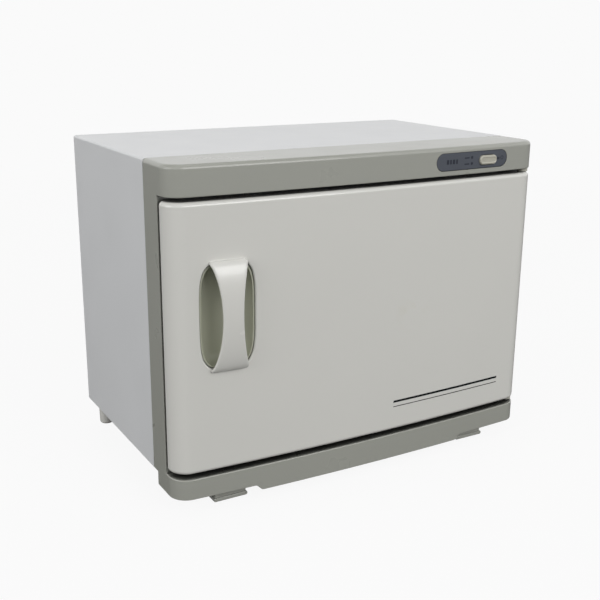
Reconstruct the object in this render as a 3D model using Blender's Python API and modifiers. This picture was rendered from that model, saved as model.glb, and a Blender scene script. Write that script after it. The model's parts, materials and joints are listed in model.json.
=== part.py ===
"""Hot towel cabinet, 23-litre class, as separate pieces on their real joints.

Lengths are metres. Everything is laid out in the cabinet's own working frame and parented
to one empty, which then stands the cabinet on its feet at the world's origin:
X runs to the right as seen from the door, -Y points forwards, +Z is up. In the working
frame y = 0 is the front plane at the two ends of the bowed front, and z = 0 is the
bottom edge of the sheet-steel casing.
"""

import math

import bmesh
import bpy
from mathutils import Matrix, Vector

# Driving dimensions. GAP is the clearance between touching pieces; PAST is how far a cutter
# overshoots a face, and FAR takes one clear of the whole cabinet.
WIDTH = 0.450
CASE_HEIGHT = 0.324
CASE_REAR = 0.280
FOOT_DROP = 0.0306
BOW = 0.0073
CORNER_RADIUS = 0.020
GAP = 0.0003
FAR = 0.3
PAST = 0.010

HALF = WIDTH / 2
SHEET = 0.0012
WALL = 0.0028

# Front frame
RING_FRONT = 0.0255
RING_REAR = 0.0592
TOP_BAR_BOTTOM = 0.2934
LOW_BAR_TOP = 0.0074
LOW_BAR_BOTTOM = -0.0150
LOW_BAR_REAR = 0.048
SKIRT_BOTTOM = -0.0212
SKIRT_LEFT, SKIRT_RIGHT = -0.133, 0.129
BAR_EDGE = 0.0045

# Door
DOOR_BOTTOM, DOOR_TOP = 0.0126, 0.2887
DOOR_REAR = 0.022
DOOR_EDGE = 0.0045
DOOR_WALL = WALL + 0.0015
PLUG_REAR = 0.0245
HINGE_X, HINGE_Y = 0.2165, 0.012

# Towel chamber
CHAMBER_HALF = 0.190
CHAMBER_BOTTOM, CHAMBER_TOP = 0.032, 0.276
CHAMBER_FRONT, CHAMBER_REAR = 0.0286, 0.248
OPENING_HALF = 0.188
OPENING_BOTTOM, OPENING_TOP = 0.034, 0.274

# Handle
HANDLE_X, HANDLE_Z = -0.1660, 0.1750
CUP_HALF_WIDTH, CUP_HALF_HEIGHT = 0.0292, 0.0540
CUP_FLOOR = 0.0150
CUP_POWER = 4.0
STRAP_HALF_HEIGHT = 0.0560
STRAP_STANDOFF = 0.0140
STRAP_THICKNESS = 0.0060
STRAP_END_WIDTH, STRAP_WAIST = 0.0390, 0.0216

# Control label and rocker
LABEL_LEFT, LABEL_RIGHT = 0.0784, 0.1781
LABEL_BOTTOM, LABEL_TOP = 0.2990, 0.3174
LABEL_THICKNESS = 0.0010
ROCKER_X, ROCKER_Z = 0.1493, 0.3076
ROCKER_WIDTH, ROCKER_HEIGHT = 0.0234, 0.0104
ROCKER_AXIS_Y = 0.0010

# Rear face, and the middle of the whole cabinet from front to back
PANEL_FRONT = 0.2764
STRAP_FRONT = BOW * ((HANDLE_X / HALF) ** 2 - 1) - STRAP_STANDOFF
MIDDLE_Y = (STRAP_FRONT + CASE_REAR) / 2

# name: (colour, roughness, metallic)
FINISHES = {
    "white_paint": ((0.72, 0.72, 0.72), 0.45, 0.0),
    "white_plastic": ((0.72, 0.72, 0.69), 0.25, 0.0),
    "grey_plastic": ((0.30, 0.30, 0.27), 0.40, 0.0),
    "olive_plastic": ((0.14, 0.14, 0.11), 0.50, 0.0),
    "slate_label": ((0.07, 0.08, 0.10), 0.35, 0.0),
    "cream_plastic": ((0.55, 0.54, 0.47), 0.30, 0.0),
    "black_plastic": ((0.02, 0.02, 0.02), 0.50, 0.0),
    "nylon": ((0.60, 0.58, 0.50), 0.45, 0.0),
    "aluminium": ((0.80, 0.80, 0.82), 0.30, 1.0),
    "zinc_steel": ((0.60, 0.61, 0.62), 0.35, 1.0),
    "chromed_wire": ((0.75, 0.75, 0.76), 0.12, 1.0),
    "foam": ((0.75, 0.70, 0.55), 0.90, 0.0),
    "glass": ((0.75, 0.85, 0.90), 0.05, 0.0),
    "ceramic": ((0.80, 0.78, 0.72), 0.60, 0.0),
    "magnet": ((0.10, 0.10, 0.11), 0.60, 0.3),
    "silicone": ((0.62, 0.62, 0.60), 0.70, 0.0),
    "red_sleeve": ((0.45, 0.03, 0.02), 0.50, 0.0),
    "blue_sleeve": ((0.03, 0.08, 0.35), 0.50, 0.0),
    "brown_sleeve": ((0.15, 0.06, 0.02), 0.50, 0.0),
}


def clear_scene():
    """Removes whatever the open file holds."""
    for obj in list(bpy.data.objects):
        bpy.data.objects.remove(obj, do_unlink=True)


def new_collection(name):
    """A collection of this name in the scene."""
    collection = bpy.data.collections.new(name)
    bpy.context.scene.collection.children.link(collection)
    return collection


clear_scene()
PARTS = new_collection("hot_towel_cabinet")
HELPERS = new_collection("cutters")
ROOT = bpy.data.objects.new("cabinet", None)
ROOT.location = (0, -MIDDLE_Y, FOOT_DROP)
PARTS.objects.link(ROOT)
DOOR_PIVOT = bpy.data.objects.new("door_pivot", None)
DOOR_PIVOT.parent = ROOT
DOOR_PIVOT.location = (HINGE_X, HINGE_Y, 0)
PARTS.objects.link(DOOR_PIVOT)


# ---------------------------------------------------------------- helpers


def finish_material(name):
    """The Principled material of this finish, made once."""
    if name in bpy.data.materials:
        return bpy.data.materials[name]
    colour, roughness, metallic = FINISHES[name]
    material = bpy.data.materials.new(name)
    material.use_nodes = True
    shader = material.node_tree.nodes["Principled BSDF"]
    shader.inputs["Base Color"].default_value = (*colour, 1.0)
    shader.inputs["Roughness"].default_value = roughness
    shader.inputs["Metallic"].default_value = metallic
    return material


def as_object(name, mesh, finish=None):
    """A mesh object in working-frame coordinates: a piece, or a cutter where there is no finish."""
    obj = bpy.data.objects.new(name, mesh)
    obj.parent = ROOT
    if finish:
        PARTS.objects.link(obj)
        mesh.materials.clear()
        mesh.materials.append(finish_material(finish))
        mesh.shade_smooth()
        mesh.set_sharp_from_angle(angle=math.radians(35))
    else:
        HELPERS.objects.link(obj)
        obj.hide_render = True
        obj.display_type = "WIRE"
    return obj


def on_door(obj):
    """Hangs a piece on the door's pivot, where it stands."""
    obj.parent = DOOR_PIVOT
    obj.location = obj.location - DOOR_PIVOT.location
    return obj


def mesh_of_curve(curve, matrix):
    """The curve's closed mesh, moved by the matrix."""
    holder = bpy.data.objects.new("curve", curve)
    bpy.context.scene.collection.objects.link(holder)
    graph = bpy.context.evaluated_depsgraph_get()
    mesh = bpy.data.meshes.new_from_object(holder.evaluated_get(graph))
    bpy.data.objects.remove(holder, do_unlink=True)
    work = bmesh.new()
    work.from_mesh(mesh)
    bmesh.ops.remove_doubles(work, verts=work.verts, dist=1e-6)
    bmesh.ops.recalc_face_normals(work, faces=work.faces)
    work.to_mesh(mesh)
    work.free()
    mesh.transform(matrix)
    return mesh


# Each turns the slab's flat outline and its thickness to where they lie in the cabinet.
TURN = {
    "Z": Matrix.Identity(4),
    "Y": Matrix.Rotation(math.radians(90), 4, "X"),
    "X": Matrix(((0, 0, 1, 0), (1, 0, 0, 0), (0, 1, 0, 0), (0, 0, 0, 1))),
}


def slab(name, loops, low, high, finish=None, along="Z", edge=0.0, edge_steps=2):
    """Flat outlines, the first solid and the rest holes, thickened from low to high along an axis.

    The outline is (x, y) for a slab along Z, (x, z) along Y and (y, z) along X.
    """
    curve = bpy.data.curves.new(name, "CURVE")
    curve.dimensions = "2D"
    curve.fill_mode = "BOTH"
    curve.extrude = (high - low) / 2 - edge
    curve.bevel_depth = edge
    curve.bevel_resolution = edge_steps
    curve.offset = -edge
    for loop in loops:
        spline = curve.splines.new("POLY")
        spline.points.add(len(loop) - 1)
        spline.use_cyclic_u = True
        for point, (u, v) in zip(spline.points, loop):
            point.co = (u, v, 0, 1)
    middle = (low + high) / 2
    offset = {"X": (middle, 0, 0), "Y": (0, middle, 0), "Z": (0, 0, middle)}[along]
    return as_object(name, mesh_of_curve(curve, Matrix.Translation(offset) @ TURN[along]), finish)


def box(name, low, high, finish=None):
    """A box between two corners."""
    mesh = bpy.data.meshes.new(name)
    work = bmesh.new()
    bmesh.ops.create_cube(work, size=1)
    size = Vector(high) - Vector(low)
    bmesh.ops.transform(work, matrix=Matrix.Diagonal((*size, 1)), verts=work.verts)
    bmesh.ops.translate(work, vec=(Vector(high) + Vector(low)) / 2, verts=work.verts)
    work.to_mesh(mesh)
    work.free()
    return as_object(name, mesh, finish)


def rod(name, start, end, radius, finish=None, sides=16):
    """A straight cylinder between two points."""
    start, end = Vector(start), Vector(end)
    mesh = bpy.data.meshes.new(name)
    work = bmesh.new()
    bmesh.ops.create_cone(
        work, cap_ends=True, segments=sides, radius1=radius, radius2=radius, depth=(end - start).length
    )
    turn = (end - start).to_track_quat("Z", "Y").to_matrix().to_4x4()
    place = Matrix.Translation((start + end) / 2) @ turn
    bmesh.ops.transform(work, matrix=place, verts=work.verts)
    work.to_mesh(mesh)
    work.free()
    return as_object(name, mesh, finish)


def turned(name, profile, place, direction, finish, sides=16, ring=False):
    """A (radius, height) profile, listed from the top down, turned about an axis through a place."""
    mesh = bpy.data.meshes.new(name)
    work = bmesh.new()
    verts = [work.verts.new((radius, 0, height)) for radius, height in profile]
    for first, second in zip(verts, verts[1:] + (verts[:1] if ring else [])):
        if first is not second:
            work.edges.new((first, second))
    work.to_mesh(mesh)
    work.free()
    obj = as_object(name, mesh, finish)
    obj.location = place
    obj.rotation_euler = Vector(direction).to_track_quat("Z", "Y").to_euler()
    screw = obj.modifiers.new("turn", "SCREW")
    screw.steps = screw.render_steps = sides
    screw.use_merge_vertices = True
    screw.merge_threshold = 0.00001
    return obj


def tube(name, points, radius, finish=None, resolution=1, closed=False):
    """A round wire along points, with filled ends."""
    curve = bpy.data.curves.new(name, "CURVE")
    curve.dimensions = "3D"
    curve.bevel_depth = radius
    curve.bevel_resolution = resolution
    curve.use_fill_caps = not closed
    spline = curve.splines.new("POLY")
    spline.points.add(len(points) - 1)
    spline.use_cyclic_u = closed
    for point, place in zip(spline.points, points):
        point.co = (*place, 1)
    return as_object(name, mesh_of_curve(curve, Matrix.Identity(4)), finish)


def boolean(obj, other, operation="DIFFERENCE"):
    """One exact Boolean modifier on the piece."""
    modifier = obj.modifiers.new(operation.lower(), "BOOLEAN")
    modifier.operation = operation
    modifier.solver = "EXACT"
    modifier.object = other
    return obj


def cut(obj, *cutters):
    """Takes each cutter out of the piece."""
    for cutter in cutters:
        boolean(obj, cutter)
    return obj


def join(obj, *others):
    """Adds each other solid to the piece."""
    for other in others:
        boolean(obj, other, "UNION")
    return obj


# ---------------------------------------------------------------- outlines


def bow(x):
    """How far the bowed front stands at this x: 0 at the ends, forwards in the middle."""
    return BOW * ((x / HALF) ** 2 - 1)


def arc(centre, radius, start, end, steps):
    """Points along an arc, both ends included, angles in degrees."""
    angles = (math.radians(start + (end - start) * i / steps) for i in range(steps + 1))
    return [(centre[0] + radius * math.cos(a), centre[1] + radius * math.sin(a)) for a in angles]


def rounded(left, right, bottom, top, radius, steps=3):
    """A rectangle with round corners."""
    corners = (
        ((left + radius, bottom + radius), 180),
        ((right - radius, bottom + radius), 270),
        ((right - radius, top - radius), 0),
        ((left + radius, top - radius), 90),
    )
    return [p for centre, start in corners for p in arc(centre, radius, start, start + 90, steps)]


def bowed(rear, inset=0.0, steps=10, corner_steps=5):
    """The front's outline in plan: bowed front, round front corners, straight sides to the rear."""
    radius = CORNER_RADIUS - inset
    side = HALF - inset
    end = side - radius
    lean = math.degrees(math.atan(2 * BOW * end / HALF**2))
    centre = (end, bow(end) + inset + radius)
    right = arc(centre, radius, 270 + lean, 360, corner_steps)
    front = [(end * (2 * i / steps - 1), 0) for i in range(1, steps)]
    front = [(x, bow(x) + inset) for x, _ in front]
    left = [(-x, y) for x, y in reversed(right)]
    return left + front + right + [(side, rear), (-side, rear)]


def bowed_strip(left, right, front, back, steps=6):
    """A strip in plan that follows the bow, from front to back of the bowed face."""
    xs = [left + (right - left) * i / steps for i in range(steps + 1)]
    return [(x, bow(x) + front) for x in xs] + [(x, bow(x) + back) for x in reversed(xs)]


def stadium(left, right, bottom, top, steps=6):
    """A rectangle whose left and right ends are half circles."""
    return rounded(left, right, bottom, top, (top - bottom) / 2 * 0.999, steps)


def superellipse(grow=0.0, count=28):
    """The handle cup's outline in elevation, an oval with full shoulders."""
    points = []
    for i in range(count):
        angle = 2 * math.pi * i / count
        c, s = math.cos(angle), math.sin(angle)
        u = math.copysign(abs(c) ** (2 / CUP_POWER), c)
        v = math.copysign(abs(s) ** (2 / CUP_POWER), s)
        points.append(
            (HANDLE_X + (CUP_HALF_WIDTH + grow) * u, HANDLE_Z + (CUP_HALF_HEIGHT + grow) * v)
        )
    return points


# ---------------------------------------------------------------- casing


def sheet_tray(name, low, high, open_side, finish):
    """A folded sheet tray between two corners, open on one side: "+Z", "-Y" and so on."""
    tray = box(name, low, high, finish)
    inner_low = [v + SHEET for v in low]
    inner_high = [v - SHEET for v in high]
    axis = "XYZ".index(open_side[1])
    if open_side[0] == "+":
        inner_high[axis] = high[axis] + WALL
    else:
        inner_low[axis] = low[axis] - WALL
    return cut(tray, box(f"{name}_hollow", inner_low, inner_high))


def slots(name, count, pitch, first, size, low, high, along):
    """One cutter for each of a row of slots, spaced along X."""
    found = []
    for i in range(count):
        x = first[0] + i * pitch
        loop = rounded(
            x - size[0] / 2, x + size[0] / 2, first[1] - size[1] / 2, first[1] + size[1] / 2,
            min(size) * 0.499, 2,
        )
        found.append(slab(f"{name}_{i + 1}", [loop], low, high, along=along))
    return found


def make_casing():
    """White painted wrap: the top and both sides, with a flange inside the rear for the panel."""
    fold = 0.003
    inner = fold - SHEET
    side, top = HALF, CASE_HEIGHT
    outline = [(-side, 0)]
    outline += arc((-side + fold, top - fold), fold, 180, 90, 3)
    outline += arc((side - fold, top - fold), fold, 90, 0, 3)
    outline += [(side, 0), (side - SHEET, 0)]
    outline += arc((side - fold, top - fold), inner, 0, 90, 3)
    outline += arc((-side + fold, top - fold), inner, 90, 180, 3)
    outline += [(-side + SHEET, 0)]
    casing = slab("outer_casing", [outline], RING_REAR + GAP, CASE_REAR, "white_paint", "Y")
    flange_width = 0.018
    out, low = side - SHEET / 2, 0.0018
    flange = [
        (-out, low), (-out, top - SHEET / 2), (out, top - SHEET / 2), (out, low),
        (out - flange_width, low), (out - flange_width, top - flange_width),
        (-out + flange_width, top - flange_width), (-out + flange_width, low),
    ]
    join(casing, slab("casing_flange", [flange], PANEL_FRONT - GAP - SHEET, PANEL_FRONT - GAP, along="Y"))
    return casing


REAR_SCREWS = [(x * 0.2145, z) for z in (0.030, 0.300) for x in (-1, 1)]
GROMMET = (0.160, 0.026)


def make_rear_panel():
    """Flat painted plate inside the casing's rear edge, with vents, screw holes and the lead's hole."""
    clear = SHEET + GAP
    outline = rounded(-HALF + clear, HALF - clear, 0.0004, CASE_HEIGHT - clear, 0.002, 1)
    panel = slab("rear_panel", [outline], PANEL_FRONT, PANEL_FRONT + SHEET, "white_paint", "Y")
    through = (PANEL_FRONT - 0.004, PANEL_FRONT + 0.004)
    for row, z in enumerate((0.286, 0.296, 0.306)):
        cut(panel, *slots(f"vent_{row + 1}", 5, 0.026, (-0.052, z), (0.020, 0.003), *through, "Y"))
    for i, (x, z) in enumerate(REAR_SCREWS):
        hole = rod(f"rear_screw_hole_{i + 1}", (x, through[0], z), (x, through[1], z), 0.0020, sides=10)
        cut(panel, hole)
        cut(bpy.data.objects["outer_casing"], hole)
    x, z = GROMMET
    cut(panel, rod("grommet_hole", (x, through[0], z), (x, through[1], z), 0.0073))


def make_rear_screws():
    """Four pan-head screws that hold the rear panel to the casing's flange."""
    for i, (x, z) in enumerate(REAR_SCREWS):
        head, shank = 0.0034, 0.0016
        profile = [
            (0, 0.0019), (head * 0.6, 0.0017), (head, 0.0008), (head, 0), (shank, 0),
            (shank, -0.0070), (0, -0.0082),
        ]
        place = (x, PANEL_FRONT + SHEET + GAP, z)
        turned(f"rear_screw_{i + 1}", profile, place, (0, 1, 0), "zinc_steel", 10)


def make_grommet():
    """Black strain-relief bush round the hole where the mains lead leaves."""
    bore, neck, flange = 0.0036, 0.0069, 0.0092
    back = SHEET + GAP
    profile = [
        (flange, back + 0.0018), (flange, back), (neck, back), (neck, -GAP), (flange, -GAP),
        (flange * 0.9, -0.0050), (bore, -0.0050), (bore, back + 0.0018),
    ]
    place = (GROMMET[0], PANEL_FRONT, GROMMET[1])
    turned("cord_grommet", profile, place, (0, 1, 0), "black_plastic", 16, ring=True)


def make_base_pan():
    """Folded bottom pan inside the casing, with vents under the wiring."""
    clear = HALF - SHEET - GAP
    low, high = (-clear, RING_REAR + GAP, 0.0006), (clear, PANEL_FRONT - SHEET - 3 * GAP, 0.0120)
    pan = sheet_tray("base_pan", low, high, "+Z", "zinc_steel")
    cut(pan, *slots("base_vent", 5, 0.010, (0.140, 0.240), (0.003, 0.020), -0.001, 0.003, "Z"))


FOOT_INNER, FOOT_OUTER = 0.140, 0.179
FOOT_FRONT, FOOT_REAR = 0.0100, 0.0336
FOOT_LIP, FOOT_RIM_TOP = 0.0016, -0.0264
REAR_FOOT_X, REAR_FOOT_Y, REAR_FOOT_RADIUS = 0.208, 0.266, 0.0088


def make_feet():
    """Grey block feet in the bottom bar's pockets, and round white feet at the rear."""
    feet = {"left": (-FOOT_OUTER, -FOOT_INNER), "right": (FOOT_INNER, FOOT_OUTER)}
    for side, (left, right) in feet.items():
        low, high = (left + FOOT_LIP, FOOT_FRONT + FOOT_LIP), (right - FOOT_LIP, FOOT_REAR - FOOT_LIP)
        body = [low, (high[0], low[1]), high, (low[0], high[1])]
        foot = slab(f"front_foot_{side}", [body], FOOT_LIP - FOOT_DROP, 0.0, "grey_plastic")
        rim = rounded(left, right, -FOOT_DROP, FOOT_RIM_TOP, 0.0020, 3)
        join(foot, slab(f"foot_rim_{side}", [rim], FOOT_FRONT, FOOT_REAR, along="Y"))
    radius, seat = REAR_FOOT_RADIUS, 0.0006 - GAP
    for side, x in {"left": -REAR_FOOT_X, "right": REAR_FOOT_X}.items():
        profile = [
            (0, seat), (radius * 1.04, seat), (radius * 0.98, -0.0120),
            (radius * 0.94, -0.0282), (radius * 0.86, -0.0298), (radius * 0.70, -FOOT_DROP), (0, -FOOT_DROP),
        ]
        turned(f"rear_foot_{side}", profile, (x, REAR_FOOT_Y, 0), (0, 0, 1), "white_plastic", 20)


# ---------------------------------------------------------------- front frame


def make_top_bar():
    """Bowed bar with rounded upper edges; its sole and its rear are trimmed square."""
    bar = slab(
        "top_bar", [bowed(RING_REAR + BAR_EDGE)], TOP_BAR_BOTTOM - 2 * BAR_EDGE, CASE_HEIGHT, edge=BAR_EDGE
    )
    far, low = HALF + WALL, TOP_BAR_BOTTOM - 2 * PAST
    return cut(
        bar,
        box("bar_rear_trim", (-far, RING_REAR, low), (far, RING_REAR + 3 * PAST, CASE_HEIGHT + PAST)),
        box("bar_sole_trim", (-far, -3 * PAST, low), (far, RING_REAR + PAST, TOP_BAR_BOTTOM)),
    )


def make_low_bar():
    """Bowed bar whose middle hangs deeper, as a skirt in front of the drip tray."""
    bar = slab("low_bar", [bowed(LOW_BAR_REAR)], SKIRT_BOTTOM, LOW_BAR_TOP)
    slope, below = 0.003, SKIRT_BOTTOM - PAST
    front, rear, behind = -0.050, 0.100, 0.020
    for name, start, end in (("left", SKIRT_LEFT, -FAR), ("right", SKIRT_RIGHT, FAR)):
        lean = math.copysign(slope, end)
        step = [
            (end, LOW_BAR_BOTTOM), (start + lean, LOW_BAR_BOTTOM), (start - lean, SKIRT_BOTTOM),
            (start - lean, below), (end, below),
        ]
        cut(bar, slab(f"skirt_step_{name}", [step], front, rear, along="Y"))
    sole = LOW_BAR_BOTTOM + 0.0001
    return cut(bar, box("skirt_rear_trim", (-FAR, behind, below), (FAR, rear, sole)))


def make_front_frame():
    """Grey moulding: a ring round the chamber's mouth, with a top bar and a deeper bottom bar."""
    flush = 0.00005
    side = HALF - flush
    ring = (-side, RING_FRONT, 0.0), (side, RING_REAR - flush, CASE_HEIGHT - 0.006)
    frame = box("front_frame", *ring, "grey_plastic")
    join(frame, make_top_bar(), make_low_bar())

    side = HALF - WALL
    opening = rounded(-OPENING_HALF, OPENING_HALF, OPENING_BOTTOM, OPENING_TOP, 0.012, 3)
    hollow_top, rear = 0.0010, RING_REAR + 4 * PAST
    cut(
        frame,
        slab("mouth", [opening], 0.0, rear, along="Y"),
        box("ring_hollow", (-side, RING_FRONT + WALL, WALL), (side, rear, TOP_BAR_BOTTOM + 0.004)),
        slab("top_bar_hollow", [bowed(rear, WALL + flush)], TOP_BAR_BOTTOM + WALL, CASE_HEIGHT - WALL),
        slab("low_bar_hollow", [bowed(LOW_BAR_REAR - WALL, WALL)], SKIRT_BOTTOM - PAST, hollow_top),
    )
    return frame


def cut_hinge_holes(frame):
    """A hole for a hinge pin in the sole of the top bar and in the top of the bottom bar."""
    radius, reach = 0.0030, 0.0070
    for name, middle in (("top", TOP_BAR_BOTTOM), ("bottom", LOW_BAR_TOP - WALL)):
        start, end = (HINGE_X, HINGE_Y, middle - reach), (HINGE_X, HINGE_Y, middle + reach)
        cut(frame, rod(f"hinge_hole_{name}", start, end, radius))


def make_label(frame):
    """Slate overlay that follows the bow, in a shallow recess of the top bar."""
    def plate(name, grow, front, back, finish=None):
        strip = bowed_strip(LABEL_LEFT - 0.004, LABEL_RIGHT + 0.004, front, back)
        piece = slab(name, [strip], LABEL_BOTTOM - 0.002, LABEL_TOP + 0.002, finish)
        shape = stadium(
            LABEL_LEFT - grow, LABEL_RIGHT + grow, LABEL_BOTTOM - grow, LABEL_TOP + grow
        )
        outline = slab(f"{name}_outline", [shape], -5 * PAST, 5 * PAST, along="Y")
        return boolean(piece, outline, "INTERSECT")

    recess = LABEL_THICKNESS + GAP
    cut(frame, plate("label_recess", GAP, -PAST, recess))
    label = plate("control_label", 0.0, 0.0, LABEL_THICKNESS, "slate_label")
    clear = 0.0006
    window = stadium(
        ROCKER_X - ROCKER_WIDTH / 2 - clear, ROCKER_X + ROCKER_WIDTH / 2 + clear,
        ROCKER_Z - ROCKER_HEIGHT / 2 - clear, ROCKER_Z + ROCKER_HEIGHT / 2 + clear,
    )
    hole = slab("rocker_window", [window], -2 * PAST, 2 * PAST, along="Y")
    cut(frame, hole)
    cut(label, hole)


def make_switch():
    """Snap-in switch body behind the top bar's face, and the cream rocker that tilts in it."""
    pivot = (ROCKER_X, ROCKER_AXIS_Y, ROCKER_Z)
    half_w, half_h = ROCKER_WIDTH / 2, ROCKER_HEIGHT / 2
    front = bow(ROCKER_X) - 0.0030
    loop = stadium(-half_w, half_w, -half_h, half_h, 5)
    edge = 0.0016
    depth = ROCKER_AXIS_Y + 0.0022 - front
    rocker = slab("rocker_button", [loop], 0, depth + edge, "cream_plastic", "Y", edge, 2)
    rocker.location = (ROCKER_X, front, ROCKER_Z)
    trim = box("rocker_trim", (-FAR, depth, -FAR), (FAR, FAR, FAR))
    trim.location = rocker.location
    cut(rocker, trim)
    shaft = rod("rocker_shaft", (0, 0, -half_h - 0.0012), (0, 0, half_h + 0.0012), 0.0010, sides=10)
    shaft.location = pivot
    join(rocker, shaft)

    wall_rear = bow(ROCKER_X + half_w + 0.002) + WALL
    rear = wall_rear + 0.0185
    low = (ROCKER_X - half_w - 0.002, wall_rear + GAP, ROCKER_Z - half_h - 0.0042)
    high = (ROCKER_X + half_w + 0.002, rear, ROCKER_Z + half_h + 0.0042)
    body = box("switch_housing", low, high, "black_plastic")
    pocket = 0.0007
    hollow = rounded(
        ROCKER_X - half_w - pocket, ROCKER_X + half_w + pocket,
        ROCKER_Z - half_h - pocket, ROCKER_Z + half_h + pocket, 0.001, 1,
    )
    cut(body, slab("switch_pocket", [hollow], -2 * PAST, ROCKER_AXIS_Y + 0.0045, along="Y"))
    slot_height = half_h + 0.0018
    groove = box(
        "switch_groove", (ROCKER_X - 0.0014, -2 * PAST, ROCKER_Z - slot_height),
        (ROCKER_X + 0.0014, ROCKER_AXIS_Y + 0.0014, ROCKER_Z + slot_height),
    )
    cut(body, groove)
    for i, x in enumerate((-0.008, 0.0, 0.008)):
        tab = box(
            f"switch_tab_{i + 1}", (ROCKER_X + x - 0.0024, rear - 0.001, ROCKER_Z - 0.0004),
            (ROCKER_X + x + 0.0024, rear + 0.0075, ROCKER_Z + 0.0004),
        )
        join(body, tab)


# ---------------------------------------------------------------- chamber and heating


def make_liner():
    """Aluminium towel chamber, open at the front, with a flange behind the frame's face."""
    outer = CHAMBER_HALF + SHEET
    low = (-outer, CHAMBER_FRONT, CHAMBER_BOTTOM - SHEET)
    high = (outer, CHAMBER_REAR + SHEET, CHAMBER_TOP + SHEET)
    liner = sheet_tray("inner_liner", low, high, "-Y", "aluminium")
    reach = 0.010
    ring = [
        rounded(-outer - reach, outer + reach, low[2] - reach, high[2] + reach, 0.004, 1),
        rounded(-CHAMBER_HALF - 0.0004, CHAMBER_HALF + 0.0004, CHAMBER_BOTTOM - 0.0004,
                CHAMBER_TOP + 0.0004, 0.0008, 1),
    ]
    join(liner, slab("liner_flange", ring, CHAMBER_FRONT, CHAMBER_FRONT + SHEET, along="Y"))


def make_insulation():
    """Foam slabs between the chamber and the casing, on both sides, above and behind."""
    outer = CHAMBER_HALF + SHEET + GAP
    rear = CHAMBER_REAR + SHEET
    front = RING_REAR + 0.002
    side = HALF - SHEET - 0.002
    low, high = CHAMBER_BOTTOM - SHEET, CHAMBER_TOP + SHEET
    box("insulation_left", (-side, front, low), (-outer, rear, high), "foam")
    box("insulation_right", (outer, front, low), (side, rear, high), "foam")
    box("insulation_top", (-side, front, high + GAP), (side, rear, high + 0.012), "foam")
    box("insulation_rear", (-side + 0.02, rear + GAP, low), (side - 0.02, rear + 0.018, high - 0.02), "foam")


HEATER_Z = CHAMBER_BOTTOM - SHEET - 0.0037
HEATER_RADIUS = 0.0032


def heater_path():
    """Four passes under the chamber floor, joined by half circles, with both ends at the right."""
    pitch, passes, left, right, first = 0.034, 4, -0.140, 0.140, 0.095
    points = [(right + 0.020, first)]
    for i in range(passes):
        y = first + i * pitch
        goes_left = i % 2 == 0
        points += [(right, y), (left, y)] if goes_left else [(left, y), (right, y)]
        if i + 1 < passes:
            centre = (left if goes_left else right, y + pitch / 2)
            turn = (270, 90) if goes_left else (-90, 90)
            points += arc(centre, pitch / 2, *turn, 8)[1:-1]
    points.append((right + 0.020, first + (passes - 1) * pitch))
    return [(x, y, HEATER_Z) for x, y in points]


def make_heater():
    """Sheathed element, its two clamps, and the shield plate under it."""
    tube("heater_element", heater_path(), HEATER_RADIUS, "zinc_steel", 1)
    low = HEATER_Z - HEATER_RADIUS - GAP
    for i, x in enumerate((-0.070, 0.070)):
        box(
            f"heater_clamp_{i + 1}", (x - 0.006, 0.075, low - 0.0012), (x + 0.006, 0.220, low),
            "aluminium",
        )
    shield = (-0.180, 0.070, 0.0150), (0.180, 0.240, 0.0205)
    sheet_tray("heat_shield", *shield, "+Z", "zinc_steel")


def make_thermal_parts():
    """Bimetal thermostat and one-shot fuse, both under the chamber floor between heater passes."""
    top = CHAMBER_BOTTOM - SHEET - GAP
    profile = [
        (0, top), (0.0080, top), (0.0080, top - 0.0040), (0.0070, top - 0.0044),
        (0.0070, top - 0.0085), (0, top - 0.0085),
    ]
    turned("thermostat", profile, (0.105, 0.112, 0), (0, 0, 1), "ceramic", 16)
    rod("thermal_fuse", (0.090, 0.180, top - 0.0026), (0.122, 0.180, top - 0.0026), 0.0024, "ceramic", 10)


# ---------------------------------------------------------------- ultraviolet lamp and wiring

LAMP_Y, LAMP_Z, LAMP_HALF, LAMP_RADIUS = 0.2290, 0.2580, 0.1060, 0.0078


def make_lamp():
    """Short germicidal tube along the chamber's upper rear corner, in two holders, behind a guard."""
    cap, pin = 0.0080, 0.0012
    profile = [
        (0, LAMP_HALF), (LAMP_RADIUS * 0.95, LAMP_HALF), (LAMP_RADIUS, LAMP_HALF - 0.001),
        (LAMP_RADIUS, LAMP_HALF - cap), (LAMP_RADIUS * 0.97, LAMP_HALF - cap - 0.001),
    ]
    profile += [(radius, -height) for radius, height in reversed(profile)]
    lamp = turned("uv_lamp", profile, (0, LAMP_Y, LAMP_Z), (1, 0, 0), "glass", 16)
    reach = LAMP_HALF + 0.0065
    for name, start, end in (("right", LAMP_HALF - 0.002, reach), ("left", -LAMP_HALF + 0.002, -reach)):
        for i, offset in enumerate((-0.0023, 0.0023)):
            z = LAMP_Z + offset
            join(lamp, rod(f"lamp_pin_{name}_{i + 1}", (start, LAMP_Y, z), (end, LAMP_Y, z), pin, sides=8))
    top, rear = CHAMBER_TOP - GAP, CHAMBER_REAR - GAP
    for side, direction in (("left", -1), ("right", 1)):
        inner = LAMP_HALF + 0.0006
        xs = sorted((direction * inner, direction * (inner + 0.0110)))
        holder = box(
            f"lamp_holder_{side}", (xs[0], LAMP_Y - 0.0105, LAMP_Z - 0.0105), (xs[1], rear, top),
            "white_plastic",
        )
        slot = box(
            f"lamp_slot_{side}", (xs[0] - 0.004 if direction > 0 else xs[1] - 0.0075, LAMP_Y - 0.0017,
                                 LAMP_Z - 0.020),
            (xs[0] + 0.0075 if direction > 0 else xs[1] + 0.004, LAMP_Y + 0.0017, LAMP_Z + 0.0042),
        )
        cut(holder, slot)


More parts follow.
